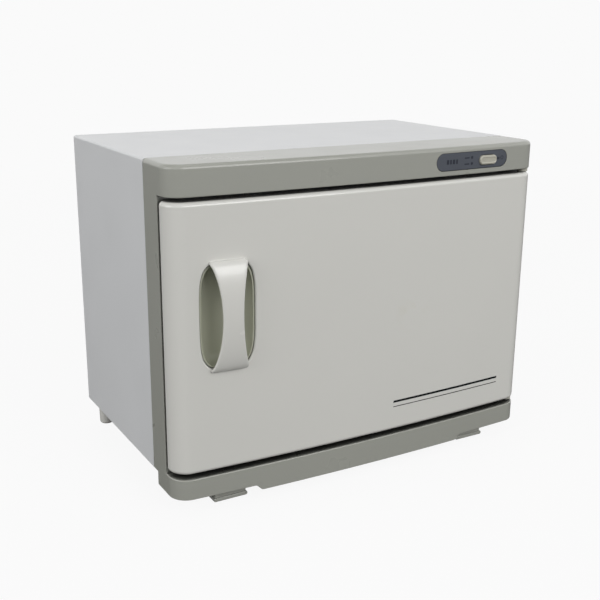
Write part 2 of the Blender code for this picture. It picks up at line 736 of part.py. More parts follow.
def make_lamp_guard():
    """Bent aluminium cover in front of the tube, slotted so that the light reaches the towels."""
    half = LAMP_HALF + 0.0200
    top, rear = CHAMBER_TOP - GAP, CHAMBER_REAR - GAP
    front, low = LAMP_Y - 0.0150, LAMP_Z - 0.0150
    t = 0.0010
    profile = [
        (front - 0.010, top), (front, top), (front, low + 0.006), (front + 0.006, low), (rear, low),
        (rear, low - t), (front + 0.0056, low - t), (front - t, low + 0.0056), (front - t, top - t),
        (front - 0.010, top - t),
    ]
    guard = slab("lamp_guard", [profile], -half, half, "aluminium", "X")
    for row, z in enumerate((LAMP_Z - 0.004, LAMP_Z + 0.006)):
        cut(guard, *slots(f"guard_slot_{row + 1}", 7, 0.032, (-0.096, z), (0.024, 0.004),
                          front - 0.005, front + 0.003, "Y"))


PLATE_Z = CHAMBER_TOP + SHEET + 0.012 + GAP
LEAD_RADIUS = 0.0012


def make_electrics():
    """Plate over the chamber that carries the lamp's ballast and starter; terminals below."""
    top = PLATE_Z + SHEET
    box("electrics_plate", (-0.120, 0.090, PLATE_Z), (0.190, 0.225, top), "zinc_steel")
    seat = top + GAP
    ballast = box("ballast", (-0.090, 0.130, seat), (-0.030, 0.162, seat + 0.0245), "zinc_steel")
    for i, x in enumerate((-0.090, -0.030)):
        tab = 0.012 if x > -0.05 else -0.012
        low, high = sorted((x - math.copysign(0.001, tab), x + tab))
        join(ballast, box(f"ballast_tab_{i + 1}", (low, 0.139, seat), (high, 0.153, seat + 0.0015)))
    start, radius = (0.020, 0.146, seat + 0.0112), 0.0105
    end = (start[0] + 0.034, start[1], start[2])
    rod("starter", start, end, radius, "white_plastic", 20)
    low, high = (end[0] + GAP, 0.134, seat), (end[0] + 0.012, 0.158, seat + 0.024)
    box("starter_socket", low, high, "black_plastic")
    box("terminal_block", (0.085, 0.246, 0.0024), (0.125, 0.262, 0.0170), "white_plastic")


def smooth_path(points, steps=4):
    """Catmull-Rom points through a lead's own route."""
    route = [Vector(p) for p in points]
    route = [2 * route[0] - route[1]] + route + [2 * route[-1] - route[-2]]
    found = []
    for a, b, c, d in zip(route, route[1:], route[2:], route[3:]):
        for i in range(steps):
            t = i / steps
            found.append(
                0.5 * (2 * b + (c - a) * t + (2 * a - 5 * b + 4 * c - d) * t**2
                       + (3 * b - a - 3 * c + d) * t**3)
            )
    return [tuple(p) for p in found + [route[-2]]]


def make_leads():
    """Fixed leads inside the casing, each from one terminal to the next."""
    plate = PLATE_Z + SHEET
    switch = (ROCKER_X, 0.0285, ROCKER_Z)
    tube("switch_lead", smooth_path([
        (switch[0] + 0.008, switch[1], switch[2]), (0.160, 0.060, 0.309), (0.185, 0.120, 0.309),
        (0.204, 0.200, 0.307), (0.2105, 0.245, 0.3035), (0.2105, 0.2575, 0.288), (0.2105, 0.2585, 0.240),
        (0.2105, 0.2585, 0.120), (0.205, 0.2585, 0.030), (0.165, 0.256, 0.0105), (0.1256, 0.254, 0.009),
    ]), LEAD_RADIUS, "brown_sleeve", 0)
    tube("lamp_lead", smooth_path([
        (switch[0], switch[1], switch[2]), (0.140, 0.060, 0.311), (0.100, 0.100, 0.311),
        (0.082, 0.146, plate + 0.0140), (0.0665, 0.146, plate + 0.0130),
    ]), LEAD_RADIUS, "blue_sleeve", 0)
    tube("heater_lead", smooth_path([
        (0.1610, 0.095, HEATER_Z), (0.172, 0.097, 0.0268), (0.184, 0.106, 0.0262), (0.1880, 0.125, 0.0245),
        (0.1880, 0.200, 0.0180), (0.1870, 0.234, 0.0125), (0.165, 0.2470, 0.0100), (0.1256, 0.2500, 0.0090),
    ]), LEAD_RADIUS, "red_sleeve", 0)


# ---------------------------------------------------------------- rack and drip tray


def make_rack():
    """Chromed wire shelf that stands on the chamber floor and carries the rolled towels."""
    wire, rim = 0.0013, 0.0020
    half, front, rear = 0.180, 0.045, 0.205
    top = CHAMBER_BOTTOM + 0.016
    edge = [(*p, top) for p in rounded(-half, half, front, rear, 0.015, 3)]
    rack = tube("towel_rack", edge, rim, "chromed_wire", 0, closed=True)
    cross = 11
    for i in range(cross):
        x = -half * 0.86 + i * half * 0.86 * 2 / (cross - 1)
        join(rack, tube(f"rack_wire_{i + 1}", [(x, front, top), (x, rear, top)], wire, resolution=0))
    floor = CHAMBER_BOTTOM + GAP
    for i, x in enumerate((-half * 0.60, half * 0.60)):
        foot = floor + rim
        path = [(x, front, top), (x, front + 0.010, foot), (x, rear - 0.010, foot), (x, rear, top)]
        join(rack, tube(f"rack_leg_{i + 1}", path, rim, resolution=0))


TRAY_HALF = 0.100
TRAY_FRONT, TRAY_REAR = 0.0400, 0.2000
TRAY_BOTTOM, TRAY_TOP = -0.0292, -0.0218
FLANGE_INSET = 0.010


def make_drip_tray():
    """Shallow tray under the base, with side flanges that run on two rails."""
    wall, flange = 0.0014, 0.0050
    body = slab(
        "drip_tray", [rounded(-TRAY_HALF, TRAY_HALF, TRAY_FRONT, TRAY_REAR, 0.008, 3)],
        TRAY_BOTTOM, TRAY_TOP, "grey_plastic",
    )
    for side in (-1, 1):
        xs = sorted((side * (TRAY_HALF - 0.0010), side * (TRAY_HALF + flange)))
        low = (xs[0], TRAY_FRONT + FLANGE_INSET, TRAY_TOP - wall)
        high = (xs[1], TRAY_REAR - FLANGE_INSET, TRAY_TOP - 0.0001)
        join(body, box("tray_flange_left" if side < 0 else "tray_flange_right", low, high))
    hollow = rounded(
        -TRAY_HALF + wall, TRAY_HALF - wall, TRAY_FRONT + wall, TRAY_REAR - wall, 0.0066, 3
    )
    cut(body, slab("tray_hollow", [hollow], TRAY_BOTTOM + wall, TRAY_TOP + PAST))
    for side, name in ((-1, "left"), (1, "right")):
        ledge_top = TRAY_TOP - wall - GAP
        inner, outer = TRAY_HALF + 0.0006, TRAY_HALF + flange + 0.0004
        profile = [
            (inner, ledge_top - 0.0012), (outer + 0.0012, ledge_top - 0.0012), (outer + 0.0012, -0.0016),
            (outer + 0.0110, -0.0016), (outer + 0.0110, -GAP), (outer, -GAP), (outer, ledge_top),
            (inner, ledge_top),
        ]
        profile = [(side * x, z) for x, z in profile]
        slab(f"tray_runner_{name}", [profile], 0.0620, 0.2150, "zinc_steel", "Y")


# ---------------------------------------------------------------- door


def make_door_shell():
    """White moulded tray that opens to the rear, bowed like the bars above and below it."""
    slab_rear = DOOR_REAR + 2 * DOOR_EDGE
    shell = slab(
        "door_shell", [bowed(slab_rear)], DOOR_BOTTOM, DOOR_TOP, "white_plastic", edge=DOOR_EDGE, edge_steps=3
    )
    rear_corner = 0.005
    side = HALF + PAST
    plan = [(-side, -3 * PAST), (side, -3 * PAST), (side, DOOR_REAR - rear_corner)]
    plan += arc((HALF - rear_corner, DOOR_REAR - rear_corner), rear_corner, 0, 90, 4)
    plan += arc((-HALF + rear_corner, DOOR_REAR - rear_corner), rear_corner, 90, 180, 4)
    plan += [(-side, DOOR_REAR - rear_corner)]
    boolean(shell, slab("door_back_trim", [plan], 0.0, FAR), "INTERSECT")
    hollow = bowed(DOOR_REAR + PAST, DOOR_WALL)
    cut(shell, slab("door_hollow", [hollow], DOOR_BOTTOM + WALL, DOOR_TOP - WALL))
    cut(shell, slab("cup_hole", [superellipse(GAP)], -3 * PAST, 0.008, along="Y"))
    inwards, outwards, radius = 0.0110, 0.0070, 0.0047
    bushes = (
        ("top", DOOR_TOP - inwards, DOOR_TOP + outwards),
        ("bottom", DOOR_BOTTOM - outwards, DOOR_BOTTOM + inwards),
    )
    for name, low, high in bushes:
        cut(shell, rod(f"bush_hole_{name}", (HINGE_X, HINGE_Y, low), (HINGE_X, HINGE_Y, high), radius))
    return on_door(shell)


DOOR_SCREWS = [(x, z) for z in (0.0205, 0.2805) for x in (-0.206, 0.2055)]
PANEL_FACE = 0.0214
PLUG_HALF, PLUG_BOTTOM, PLUG_TOP = 0.184, 0.038, 0.270


def make_door_inside():
    """Inner panel with a raised plug, foam between the skins, and the seal round the plug."""
    side = HALF - DOOR_WALL - GAP - SHEET
    low, high = DOOR_BOTTOM + WALL + GAP, DOOR_TOP - WALL - GAP
    plate = rounded(-side, side, low, high, 0.003, 2)
    panel = slab("door_inner_panel", [plate], PANEL_FACE - 0.0024, PANEL_FACE, "white_plastic", "Y")
    edge, wall = 0.0020, 0.003
    raised = rounded(-PLUG_HALF, PLUG_HALF, PLUG_BOTTOM, PLUG_TOP, 0.010, 3)
    join(panel, slab("panel_plug", [raised], 0.0200 - edge, PLUG_REAR, along="Y", edge=edge, edge_steps=1))
    hollow = rounded(wall - PLUG_HALF, PLUG_HALF - wall, PLUG_BOTTOM + wall, PLUG_TOP - wall, 0.008, 2)
    on_door(cut(panel, slab("plug_hollow", [hollow], PAST, PLUG_REAR - 0.0024, along="Y")))
    start, end = PANEL_FACE - 0.0064, PANEL_FACE + 0.0036
    for i, (x, z) in enumerate(DOOR_SCREWS):
        cut(panel, rod(f"door_screw_hole_{i + 1}", (x, start, z), (x, end, z), 0.0019, sides=10))
    filling = rounded(-0.130, 0.196, 0.030, 0.272, 0.004, 1)
    on_door(slab("door_insulation", [filling], 0.0050, 0.0176, "foam", "Y"))
    outer = rounded(-0.199, 0.199, 0.0235, 0.2845, 0.010, 3)
    inner = rounded(-0.191, 0.191, 0.0315, 0.2765, 0.004, 3)
    on_door(slab("door_gasket", [outer, inner], PANEL_FACE + GAP, RING_FRONT - GAP, "silicone", "Y"))


def make_door_screws():
    """Four pan-head screws that hold the inner panel in the door."""
    head, shank = 0.0028, 0.0014
    profile = [(0, 0.0014), (head, 0.0009), (head, 0), (shank, 0), (shank, -0.0060), (0, -0.0068)]
    for i, (x, z) in enumerate(DOOR_SCREWS):
        place = (x, PANEL_FACE + GAP, z)
        on_door(turned(f"door_screw_{i + 1}", profile, place, (0, 1, 0), "zinc_steel", 10))


def make_hinges():
    """Steel pins fixed in the two bars, turning in nylon bushes pressed into the door's ends."""
    pin, head = 0.0025, 0.0034
    top_wall = TOP_BAR_BOTTOM + WALL + GAP
    profile = [
        (0, top_wall + 0.0022), (head, top_wall + 0.0018), (head, top_wall), (pin, top_wall),
        (pin, DOOR_TOP - 0.0085), (pin * 0.7, DOOR_TOP - 0.0100), (0, DOOR_TOP - 0.0100),
    ]
    turned("hinge_pin_top", profile, (HINGE_X, HINGE_Y, 0), (0, 0, 1), "zinc_steel", 16)
    seat = 0.0010 - GAP
    profile = [
        (0, DOOR_BOTTOM + 0.0100), (pin * 0.7, DOOR_BOTTOM + 0.0100), (pin, DOOR_BOTTOM + 0.0085),
        (pin, seat), (head, seat), (head, seat - 0.0018), (0, seat - 0.0022),
    ]
    turned("hinge_pin_bottom", profile, (HINGE_X, HINGE_Y, 0), (0, 0, 1), "zinc_steel", 16)
    bore, sleeve, flange = pin + GAP, 0.0044, 0.0058
    thick, depth = 0.0040, 0.0070
    for name, face, up in (("top", DOOR_TOP, 1), ("bottom", DOOR_BOTTOM, -1)):
        profile = [
            (flange, thick), (flange, GAP), (sleeve, GAP), (sleeve, -depth), (bore, -depth), (bore, thick),
        ]
        bush = turned(
            f"hinge_bush_{name}", profile, (HINGE_X, HINGE_Y, face), (0, 0, up), "nylon", 16, ring=True
        )
        on_door(bush)


def make_catch():
    """Magnet behind the frame's left strip, and the steel plate in the door that it holds."""
    back = RING_FRONT + WALL + GAP
    middle, reach = HANDLE_Z, 0.024
    outer, inner = -0.2185, -0.2045
    box("catch_magnet", (outer, back, middle - reach), (inner, back + 0.0080, middle + reach), "magnet")
    low, high = (outer + 0.0005, 0.0165, middle - reach), (inner + 0.0005, 0.0186, middle + reach)
    on_door(box("strike_plate", low, high, "zinc_steel"))


def make_handle_cup():
    """Dished recess: rings of the oval outline, shrinking towards a flat floor, then thickened."""
    count, wall = 28, 0.0016
    steps = ((0.0, 0.0), (0.25, 0.0012), (0.6, 0.0040), (0.85, 0.0085), (1.0, 0.0140))
    mesh = bpy.data.meshes.new("handle_cup")
    work = bmesh.new()
    rings = []
    for depth, shrink in steps:
        ring = []
        for x, z in superellipse(-shrink - wall - GAP, count):
            face = bow(x)
            ring.append(work.verts.new((x, face + depth * (CUP_FLOOR - face), z)))
        rings.append(ring)
    for outer, inner in zip(rings, rings[1:]):
        for i in range(count):
            j = (i + 1) % count
            work.faces.new((outer[i], outer[j], inner[j], inner[i]))
    work.faces.new(rings[-1])
    bmesh.ops.recalc_face_normals(work, faces=work.faces)
    work.to_mesh(mesh)
    work.free()
    cup = as_object("handle_cup", mesh, "olive_plastic")
    thick = cup.modifiers.new("thick", "SOLIDIFY")
    thick.thickness = wall
    thick.offset = 1.0
    thick.use_even_offset = True
    return on_door(cup)


def strap_path(steps=14):
    """Stations down the strap: (z, how far the outer face stands off the door, width)."""
    for i in range(steps + 1):
        t = -1 + 2 * i / steps
        angle = math.pi / 2 * t
        z = HANDLE_Z + STRAP_HALF_HEIGHT * math.sin(angle)
        stand = STRAP_THICKNESS + (STRAP_STANDOFF - STRAP_THICKNESS) * math.cos(angle) ** 0.8
        reach = abs(z - HANDLE_Z) / STRAP_HALF_HEIGHT
        width = STRAP_WAIST + (STRAP_END_WIDTH - STRAP_WAIST) * reach**2.2
        yield z, stand, width


def make_handle_strap():
    """Arched grip over the cup, waisted in the middle, that lands on the door above and below."""
    mesh = bpy.data.meshes.new("handle_strap")
    work = bmesh.new()
    rows = []
    for z, stand, width in strap_path():
        sides = (-width / 2, width / 2)
        rows.append([work.verts.new((HANDLE_X + x, bow(HANDLE_X) - stand, z)) for x in sides])
    for lower, upper in zip(rows, rows[1:]):
        work.faces.new((lower[0], lower[1], upper[1], upper[0]))
    work.to_mesh(mesh)
    work.free()
    strap = as_object("handle_strap", mesh, "white_plastic")
    thick = strap.modifiers.new("thick", "SOLIDIFY")
    thick.thickness = STRAP_THICKNESS - 0.0012
    thick.offset = -1.0
    return on_door(strap)


def main():
    """Makes every piece, the fixed ones first and then the door's."""
    make_casing()
    make_rear_panel()
    make_rear_screws()
    make_grommet()
    make_base_pan()
    make_feet()
    frame = make_front_frame()
    cut_hinge_holes(frame)
    make_label(frame)
    make_switch()
    make_liner()
    make_insulation()
    make_heater()
    make_thermal_parts()
    make_lamp()
    make_lamp_guard()
    make_electrics()
    make_leads()
    make_rack()
    make_drip_tray()
    make_door_shell()
    make_door_inside()
    make_door_screws()
    make_hinges()
    make_catch()
    make_handle_cup()
    make_handle_strap()


main()
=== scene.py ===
"""Looks of the hot towel cabinet: fine meshes, materials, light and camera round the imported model.

Lengths are metres. Pieces are modelled in the cabinet's working frame and then moved by ORIGIN
into the row frame: y = 0 is the front plane at the two ends of the bowed front, -Y points
forwards, and z = 0 is the bottom edge of the casing.
"""

import json
import math

import bmesh
import bpy
from mathutils import Matrix, Vector

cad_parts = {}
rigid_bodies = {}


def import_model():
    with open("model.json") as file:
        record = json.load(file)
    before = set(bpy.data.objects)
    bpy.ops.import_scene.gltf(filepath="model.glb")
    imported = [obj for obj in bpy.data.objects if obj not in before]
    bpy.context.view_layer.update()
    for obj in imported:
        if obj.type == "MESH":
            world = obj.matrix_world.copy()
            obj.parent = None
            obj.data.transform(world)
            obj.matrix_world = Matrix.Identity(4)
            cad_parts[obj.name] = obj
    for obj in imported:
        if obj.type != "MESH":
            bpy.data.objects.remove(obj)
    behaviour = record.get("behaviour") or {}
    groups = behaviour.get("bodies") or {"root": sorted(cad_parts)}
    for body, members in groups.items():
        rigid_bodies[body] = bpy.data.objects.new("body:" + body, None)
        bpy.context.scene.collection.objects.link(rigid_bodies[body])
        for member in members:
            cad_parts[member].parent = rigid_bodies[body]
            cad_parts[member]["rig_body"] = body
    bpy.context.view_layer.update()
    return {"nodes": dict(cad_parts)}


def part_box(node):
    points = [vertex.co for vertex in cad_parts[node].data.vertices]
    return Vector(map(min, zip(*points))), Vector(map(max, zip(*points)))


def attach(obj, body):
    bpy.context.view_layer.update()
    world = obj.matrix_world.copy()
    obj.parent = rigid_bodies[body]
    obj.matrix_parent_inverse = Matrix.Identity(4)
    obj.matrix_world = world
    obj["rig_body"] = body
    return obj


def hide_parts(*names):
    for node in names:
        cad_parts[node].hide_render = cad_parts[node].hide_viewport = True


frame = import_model()
NODES = frame["nodes"]
FINISH_OF = {node: piece.material_slots[0].material.name for node, piece in NODES.items()}
for imported in bpy.data.materials:
    imported.name = f"cad_{imported.name}"

# Driving dimensions
CASE_REAR = 0.280
CORNER_RADIUS = 0.020
SHEET = 0.0012
WALL = 0.0028
TINY = 0.00005

CASING_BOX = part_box("outer_casing")
HALF = CASING_BOX[1].x
ORIGIN = Vector((0, CASING_BOX[1].y - CASE_REAR, CASING_BOX[0].z))


def local(node):
    """A CAD node's lowest and highest corners in the working frame."""
    low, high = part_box(node)
    return low - ORIGIN, high - ORIGIN


def centre_of(node):
    """The middle of a CAD node's box in the working frame."""
    low, high = local(node)
    return (low + high) / 2


CASING = local("outer_casing")
FRAME = local("front_frame")
DOOR = local("door_shell")
LABEL = local("control_label")
PANEL = local("rear_panel")
LINER = local("inner_liner")
HINGE = centre_of("hinge_pin_top")
BOW = -DOOR[0].y

# Front frame
RING_FRONT = 0.0255
TOP_BAR_BOTTOM = 0.2934
LOW_BAR_TOP, LOW_BAR_BOTTOM, LOW_BAR_REAR = 0.0074, -0.0150, 0.048
SKIRT_LEFT, SKIRT_RIGHT, SKIRT_SLOPE = -0.133, 0.129, 0.0045
BAR_EDGE = 0.0045
MOUTH = (-0.188, 0.188, 0.034, 0.274, 0.012)

# Door and handle
DOOR_EDGE = 0.0045
DOOR_WALL = WALL + 0.0015
HANDLE = centre_of("handle_strap")
CUP_HALF_WIDTH, CUP_HALF_HEIGHT, CUP_POWER = 0.0292, 0.0540, 4.0
CUP_FLOOR = local("handle_cup")[1].y - 0.0016
STRAP_HALF_HEIGHT = HANDLE.z - local("handle_strap")[0].z
STRAP_STANDOFF, STRAP_THICKNESS = 0.0136, 0.0034
STRAP_END_WIDTH, STRAP_WAIST = 0.0390, 0.0216

# Switch and screws
ROCKER_HALF_HEIGHT, ROCKER_CLEARANCE = 0.0052, 0.0006
REAR_SCREWS = [centre_of(f"rear_screw_{i}") for i in range(1, 5)]
DOOR_SCREWS = [centre_of(f"door_screw_{i}") for i in range(1, 5)]


# ---------------------------------------------------------------- meshes


def finish_mesh(work):
    """Welds a bmesh, points its faces outwards and gives it back as a mesh."""
    bmesh.ops.remove_doubles(work, verts=work.verts, dist=1e-7)
    bmesh.ops.recalc_face_normals(work, faces=work.faces)
    mesh = bpy.data.meshes.new("shape")
    work.to_mesh(mesh)
    work.free()
    return mesh


def loft(rings, closed=False):
    """A mesh through rings of the same number of points, capped unless it closes on itself."""
    work = bmesh.new()
    rows = [[work.verts.new(point) for point in ring] for ring in rings]
    if not closed:
        work.faces.new(rows[0])
        work.faces.new(rows[-1])
    for lower, upper in zip(rows, rows[1:] + (rows[:1] if closed else [])):
        for i in range(len(lower)):
            j = (i + 1) % len(lower)
            work.faces.new((lower[i], lower[j], upper[j], upper[i]))
    return finish_mesh(work)


def sheet(rows, ring=False):
    """An open sheet through rows of points; rows that are rings close, and the last one is filled."""
    work = bmesh.new()
    rows = [[work.verts.new(point) for point in row] for row in rows]
    count = len(rows[0])
    for row, other in zip(rows, rows[1:]):
        for i in range(count if ring else count - 1):
            j = (i + 1) % count
            work.faces.new((row[i], row[j], other[j], other[i]))
    if ring:
        work.faces.new(rows[-1])
    return finish_mesh(work)


# A flat outline's (u, v) and its height, as a place in the working frame.
PLACE = {
    "X": lambda u, v, height: (height, u, v),
    "Y": lambda u, v, height: (u, height, v),
    "Z": lambda u, v, height: (u, v, height),
}


def solid(outline, levels, axis="Z", closed=False):
    """The outline at each (height, inset) level along an axis, lofted."""
    place = PLACE[axis]
    return loft([[place(u, v, height) for u, v in outline(inset)] for height, inset in levels], closed)


def edge(low, high, low_radius=0.0, high_radius=0.0, steps=6):
    """Levels from low to high, with the two ends rounded off."""
    levels = []
    for end, radius, start in ((low, low_radius, -90), (high, high_radius, 0)):
        if radius == 0:
            levels.append((end, 0.0))
            continue
        centre = end + math.copysign(radius, (low + high) / 2 - end)
        for i in range(steps + 1):
            angle = math.radians(start + 90 * i / steps)
            levels.append((centre + radius * math.sin(angle), radius * (1 - math.cos(angle))))
    return levels


def quarter(steps):
    """(sine, cosine) pairs over a quarter turn, both ends included."""
    angles = (math.radians(90 * i / steps) for i in range(steps + 1))
    return [(math.sin(a), math.cos(a)) for a in angles]


def lip(face, depth, radius, steps=5, sign=1.0):
    """Levels of a cutter that goes in from a face and leaves its rim rounded."""
    levels = [(face - sign * 2 * radius, -radius)]
    levels += [(face + sign * radius * (1 - c), -radius * (1 - s)) for s, c in quarter(steps)]
    return levels + [(face + sign * depth, 0.0)]


def arc(centre, radius, start, end, steps):
    """Points along an arc, both ends included, angles in degrees."""
    angles = (math.radians(start + (end - start) * i / steps) for i in range(steps + 1))
    return [(centre[0] + radius * math.cos(a), centre[1] + radius * math.sin(a)) for a in angles]


def bow(x):
    """How far the bowed front stands at this x: 0 at the ends, forwards in the middle."""
    return BOW * ((x / HALF) ** 2 - 1)


def bowed(rear, rear_radius=0.0, rear_moves=True, extra=(), steps=60, corner_steps=16):
    """Outline in plan, by inset: bowed front, round front corners and straight sides to the rear."""
    end = HALF - CORNER_RADIUS
    lean = math.degrees(math.atan(2 * BOW * end / HALF**2))
    middle = bow(end) + CORNER_RADIUS
    xs = sorted([end * (2 * i / steps - 1) for i in range(1, steps)] + list(extra))

    def outline(inset):
        right = arc((end, middle), CORNER_RADIUS - inset, 270 + lean, 360, corner_steps)
        left = [(-x, y) for x, y in reversed(right)]
        front = [(x, bow(x) + inset) for x in xs]
        side, back = HALF - inset, rear - (inset if rear_moves else 0.0)
        corner = arc((side - rear_radius, back - rear_radius), rear_radius, 0, 90, 6)
        corner = corner if rear_radius else [(side, back)]
        return left + front + right + corner + [(-x, y) for x, y in reversed(corner)]

    return outline


def rounded(left, right, low, high, radius, steps=8):
    """Outline by inset: a rectangle with round corners."""

    def outline(inset):
        r = max(radius - inset, 0.00001)
        l, t = left + inset + r, high - inset - r
        e, b = right - inset - r, low + inset + r
        corners = ((l, b, 180), (e, b, 270), (e, t, 0), (l, t, 90))
        return [p for u, v, start in corners for p in arc((u, v), r, start, start + 90, steps)]

    return outline


def stadium(left, right, low, high, steps=12):
    """Outline by inset: a rectangle with half-round ends."""
    return rounded(left, right, low, high, (high - low) / 2 * 0.999, steps)


def cup_outline(inset, count=96):
    """The handle cup's outline in elevation, an oval with full shoulders."""
    points = []
    for i in range(count):
        angle = 2 * math.pi * i / count
        c, s = math.cos(angle), math.sin(angle)
        u = math.copysign(abs(c) ** (2 / CUP_POWER), c)
        v = math.copysign(abs(s) ** (2 / CUP_POWER), s)
        x = HANDLE.x + (CUP_HALF_WIDTH - inset) * u
        points.append((x, HANDLE.z + (CUP_HALF_HEIGHT - inset) * v))
    return points


def block(low, high, radius=0.0006, axis="Z"):
    """A box with softened edges."""
    u, v = {"X": (1, 2), "Y": (0, 2), "Z": (0, 1)}[axis]
    height = "XYZ".index(axis)
    outline = rounded(low[u], high[u], low[v], high[v], radius, 3)
    return solid(outline, edge(low[height], high[height], radius, radius, 3), axis)


def turned(profile, place, direction=(0, 0, 1), steps=48, closed=False):
    """A (radius, height) profile turned about an axis through a place."""
    angles = [2 * math.pi * i / steps for i in range(steps)]
    rings = [[(r * math.cos(a), r * math.sin(a), height) for a in angles] for r, height in profile]
    mesh = loft(rings, closed)
    turn = Vector(direction).to_track_quat("Z", "Y").to_matrix().to_4x4()
    mesh.transform(Matrix.Translation(place) @ turn)
    return mesh


def rod(start, end, radius, steps=32):
    """A plain round pin or bore between two points."""
    start, end = Vector(start), Vector(end)
    return turned([(radius, 0), (radius, (end - start).length)], start, end - start, steps)


def tube(points, radius, closed=False, resolution=4):
    """A round wire along points."""
    curve = bpy.data.curves.new("wire", "CURVE")
    curve.dimensions = "3D"
    curve.bevel_depth = radius
    curve.bevel_resolution = resolution
    curve.use_fill_caps = not closed
    spline = curve.splines.new("POLY")
    spline.points.add(len(points) - 1)
    spline.use_cyclic_u = closed
    for point, place in zip(spline.points, points):
        point.co = (*place, 1)
    return evaluated(curve)


def evaluated(data, prepare=None):
    """The mesh that an object with this data and its modifiers comes out as."""
    holder = bpy.data.objects.new("holder", data)
    bpy.context.scene.collection.objects.link(holder)
    if prepare:
        prepare(holder)
    graph = bpy.context.evaluated_depsgraph_get()
    mesh = bpy.data.meshes.new_from_object(holder.evaluated_get(graph))
    bpy.data.objects.remove(holder, do_unlink=True)
    work = bmesh.new()
    work.from_mesh(mesh)
    return finish_mesh(work)


def gather(meshes):
    """Several meshes as one, with nothing joined."""
    work = bmesh.new()
    for mesh in meshes:
        work.from_mesh(mesh)
    return finish_mesh(work)


def combine(mesh, other, operation="DIFFERENCE"):
    """The mesh after one exact Boolean with another mesh, which may be several closed bodies."""
    tool = bpy.data.objects.new("tool", other)
    bpy.context.scene.collection.objects.link(tool)

    def prepare(holder):
        modifier = holder.modifiers.new("boolean", "BOOLEAN")
        modifier.operation = operation
        modifier.solver = "EXACT"
        modifier.object = tool

    result = evaluated(mesh, prepare)
    bpy.data.objects.remove(tool, do_unlink=True)
    return result


def cut(mesh, *cutters):
    """The mesh with every cutter taken out of it."""
    return combine(mesh, gather(cutters))


def unite(mesh, *others):
    """The mesh joined with each other one in turn."""
    for other in others:
        mesh = combine(mesh, other, "UNION")
    return mesh


def thicken(mesh, thickness, offset, bevel=0.0):
    """An open sheet as a solid one, with its edges softened."""

    def prepare(holder):
        thick = holder.modifiers.new("thick", "SOLIDIFY")
        thick.thickness = thickness
        thick.offset = offset
        thick.use_even_offset = True
        if bevel:
            soft = holder.modifiers.new("soft", "BEVEL")
            soft.width = bevel
            soft.segments = 2
            soft.limit_method = "ANGLE"
            soft.angle_limit = math.radians(50)

    return evaluated(mesh, prepare)


def show(node, mesh, finish, sharp=32):
    """Shows a mesh in place of the CAD node it refines, riding on that node's body."""
    mesh.transform(Matrix.Translation(ORIGIN))
    finishes = finish if isinstance(finish, (list, tuple)) else [finish]
    for one in finishes:
        mesh.materials.append(one)
    mesh.shade_smooth()
    mesh.set_sharp_from_angle(angle=math.radians(sharp))
    piece = bpy.data.objects.new(f"{node}_fine", mesh)
    bpy.context.scene.collection.objects.link(piece)
    normals = piece.modifiers.new("normals", "WEIGHTED_NORMAL")
    normals.keep_sharp = True
    normals.weight = 80
    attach(piece, NODES[node]["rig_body"])
    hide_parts(node)
    return piece


# ---------------------------------------------------------------- materials


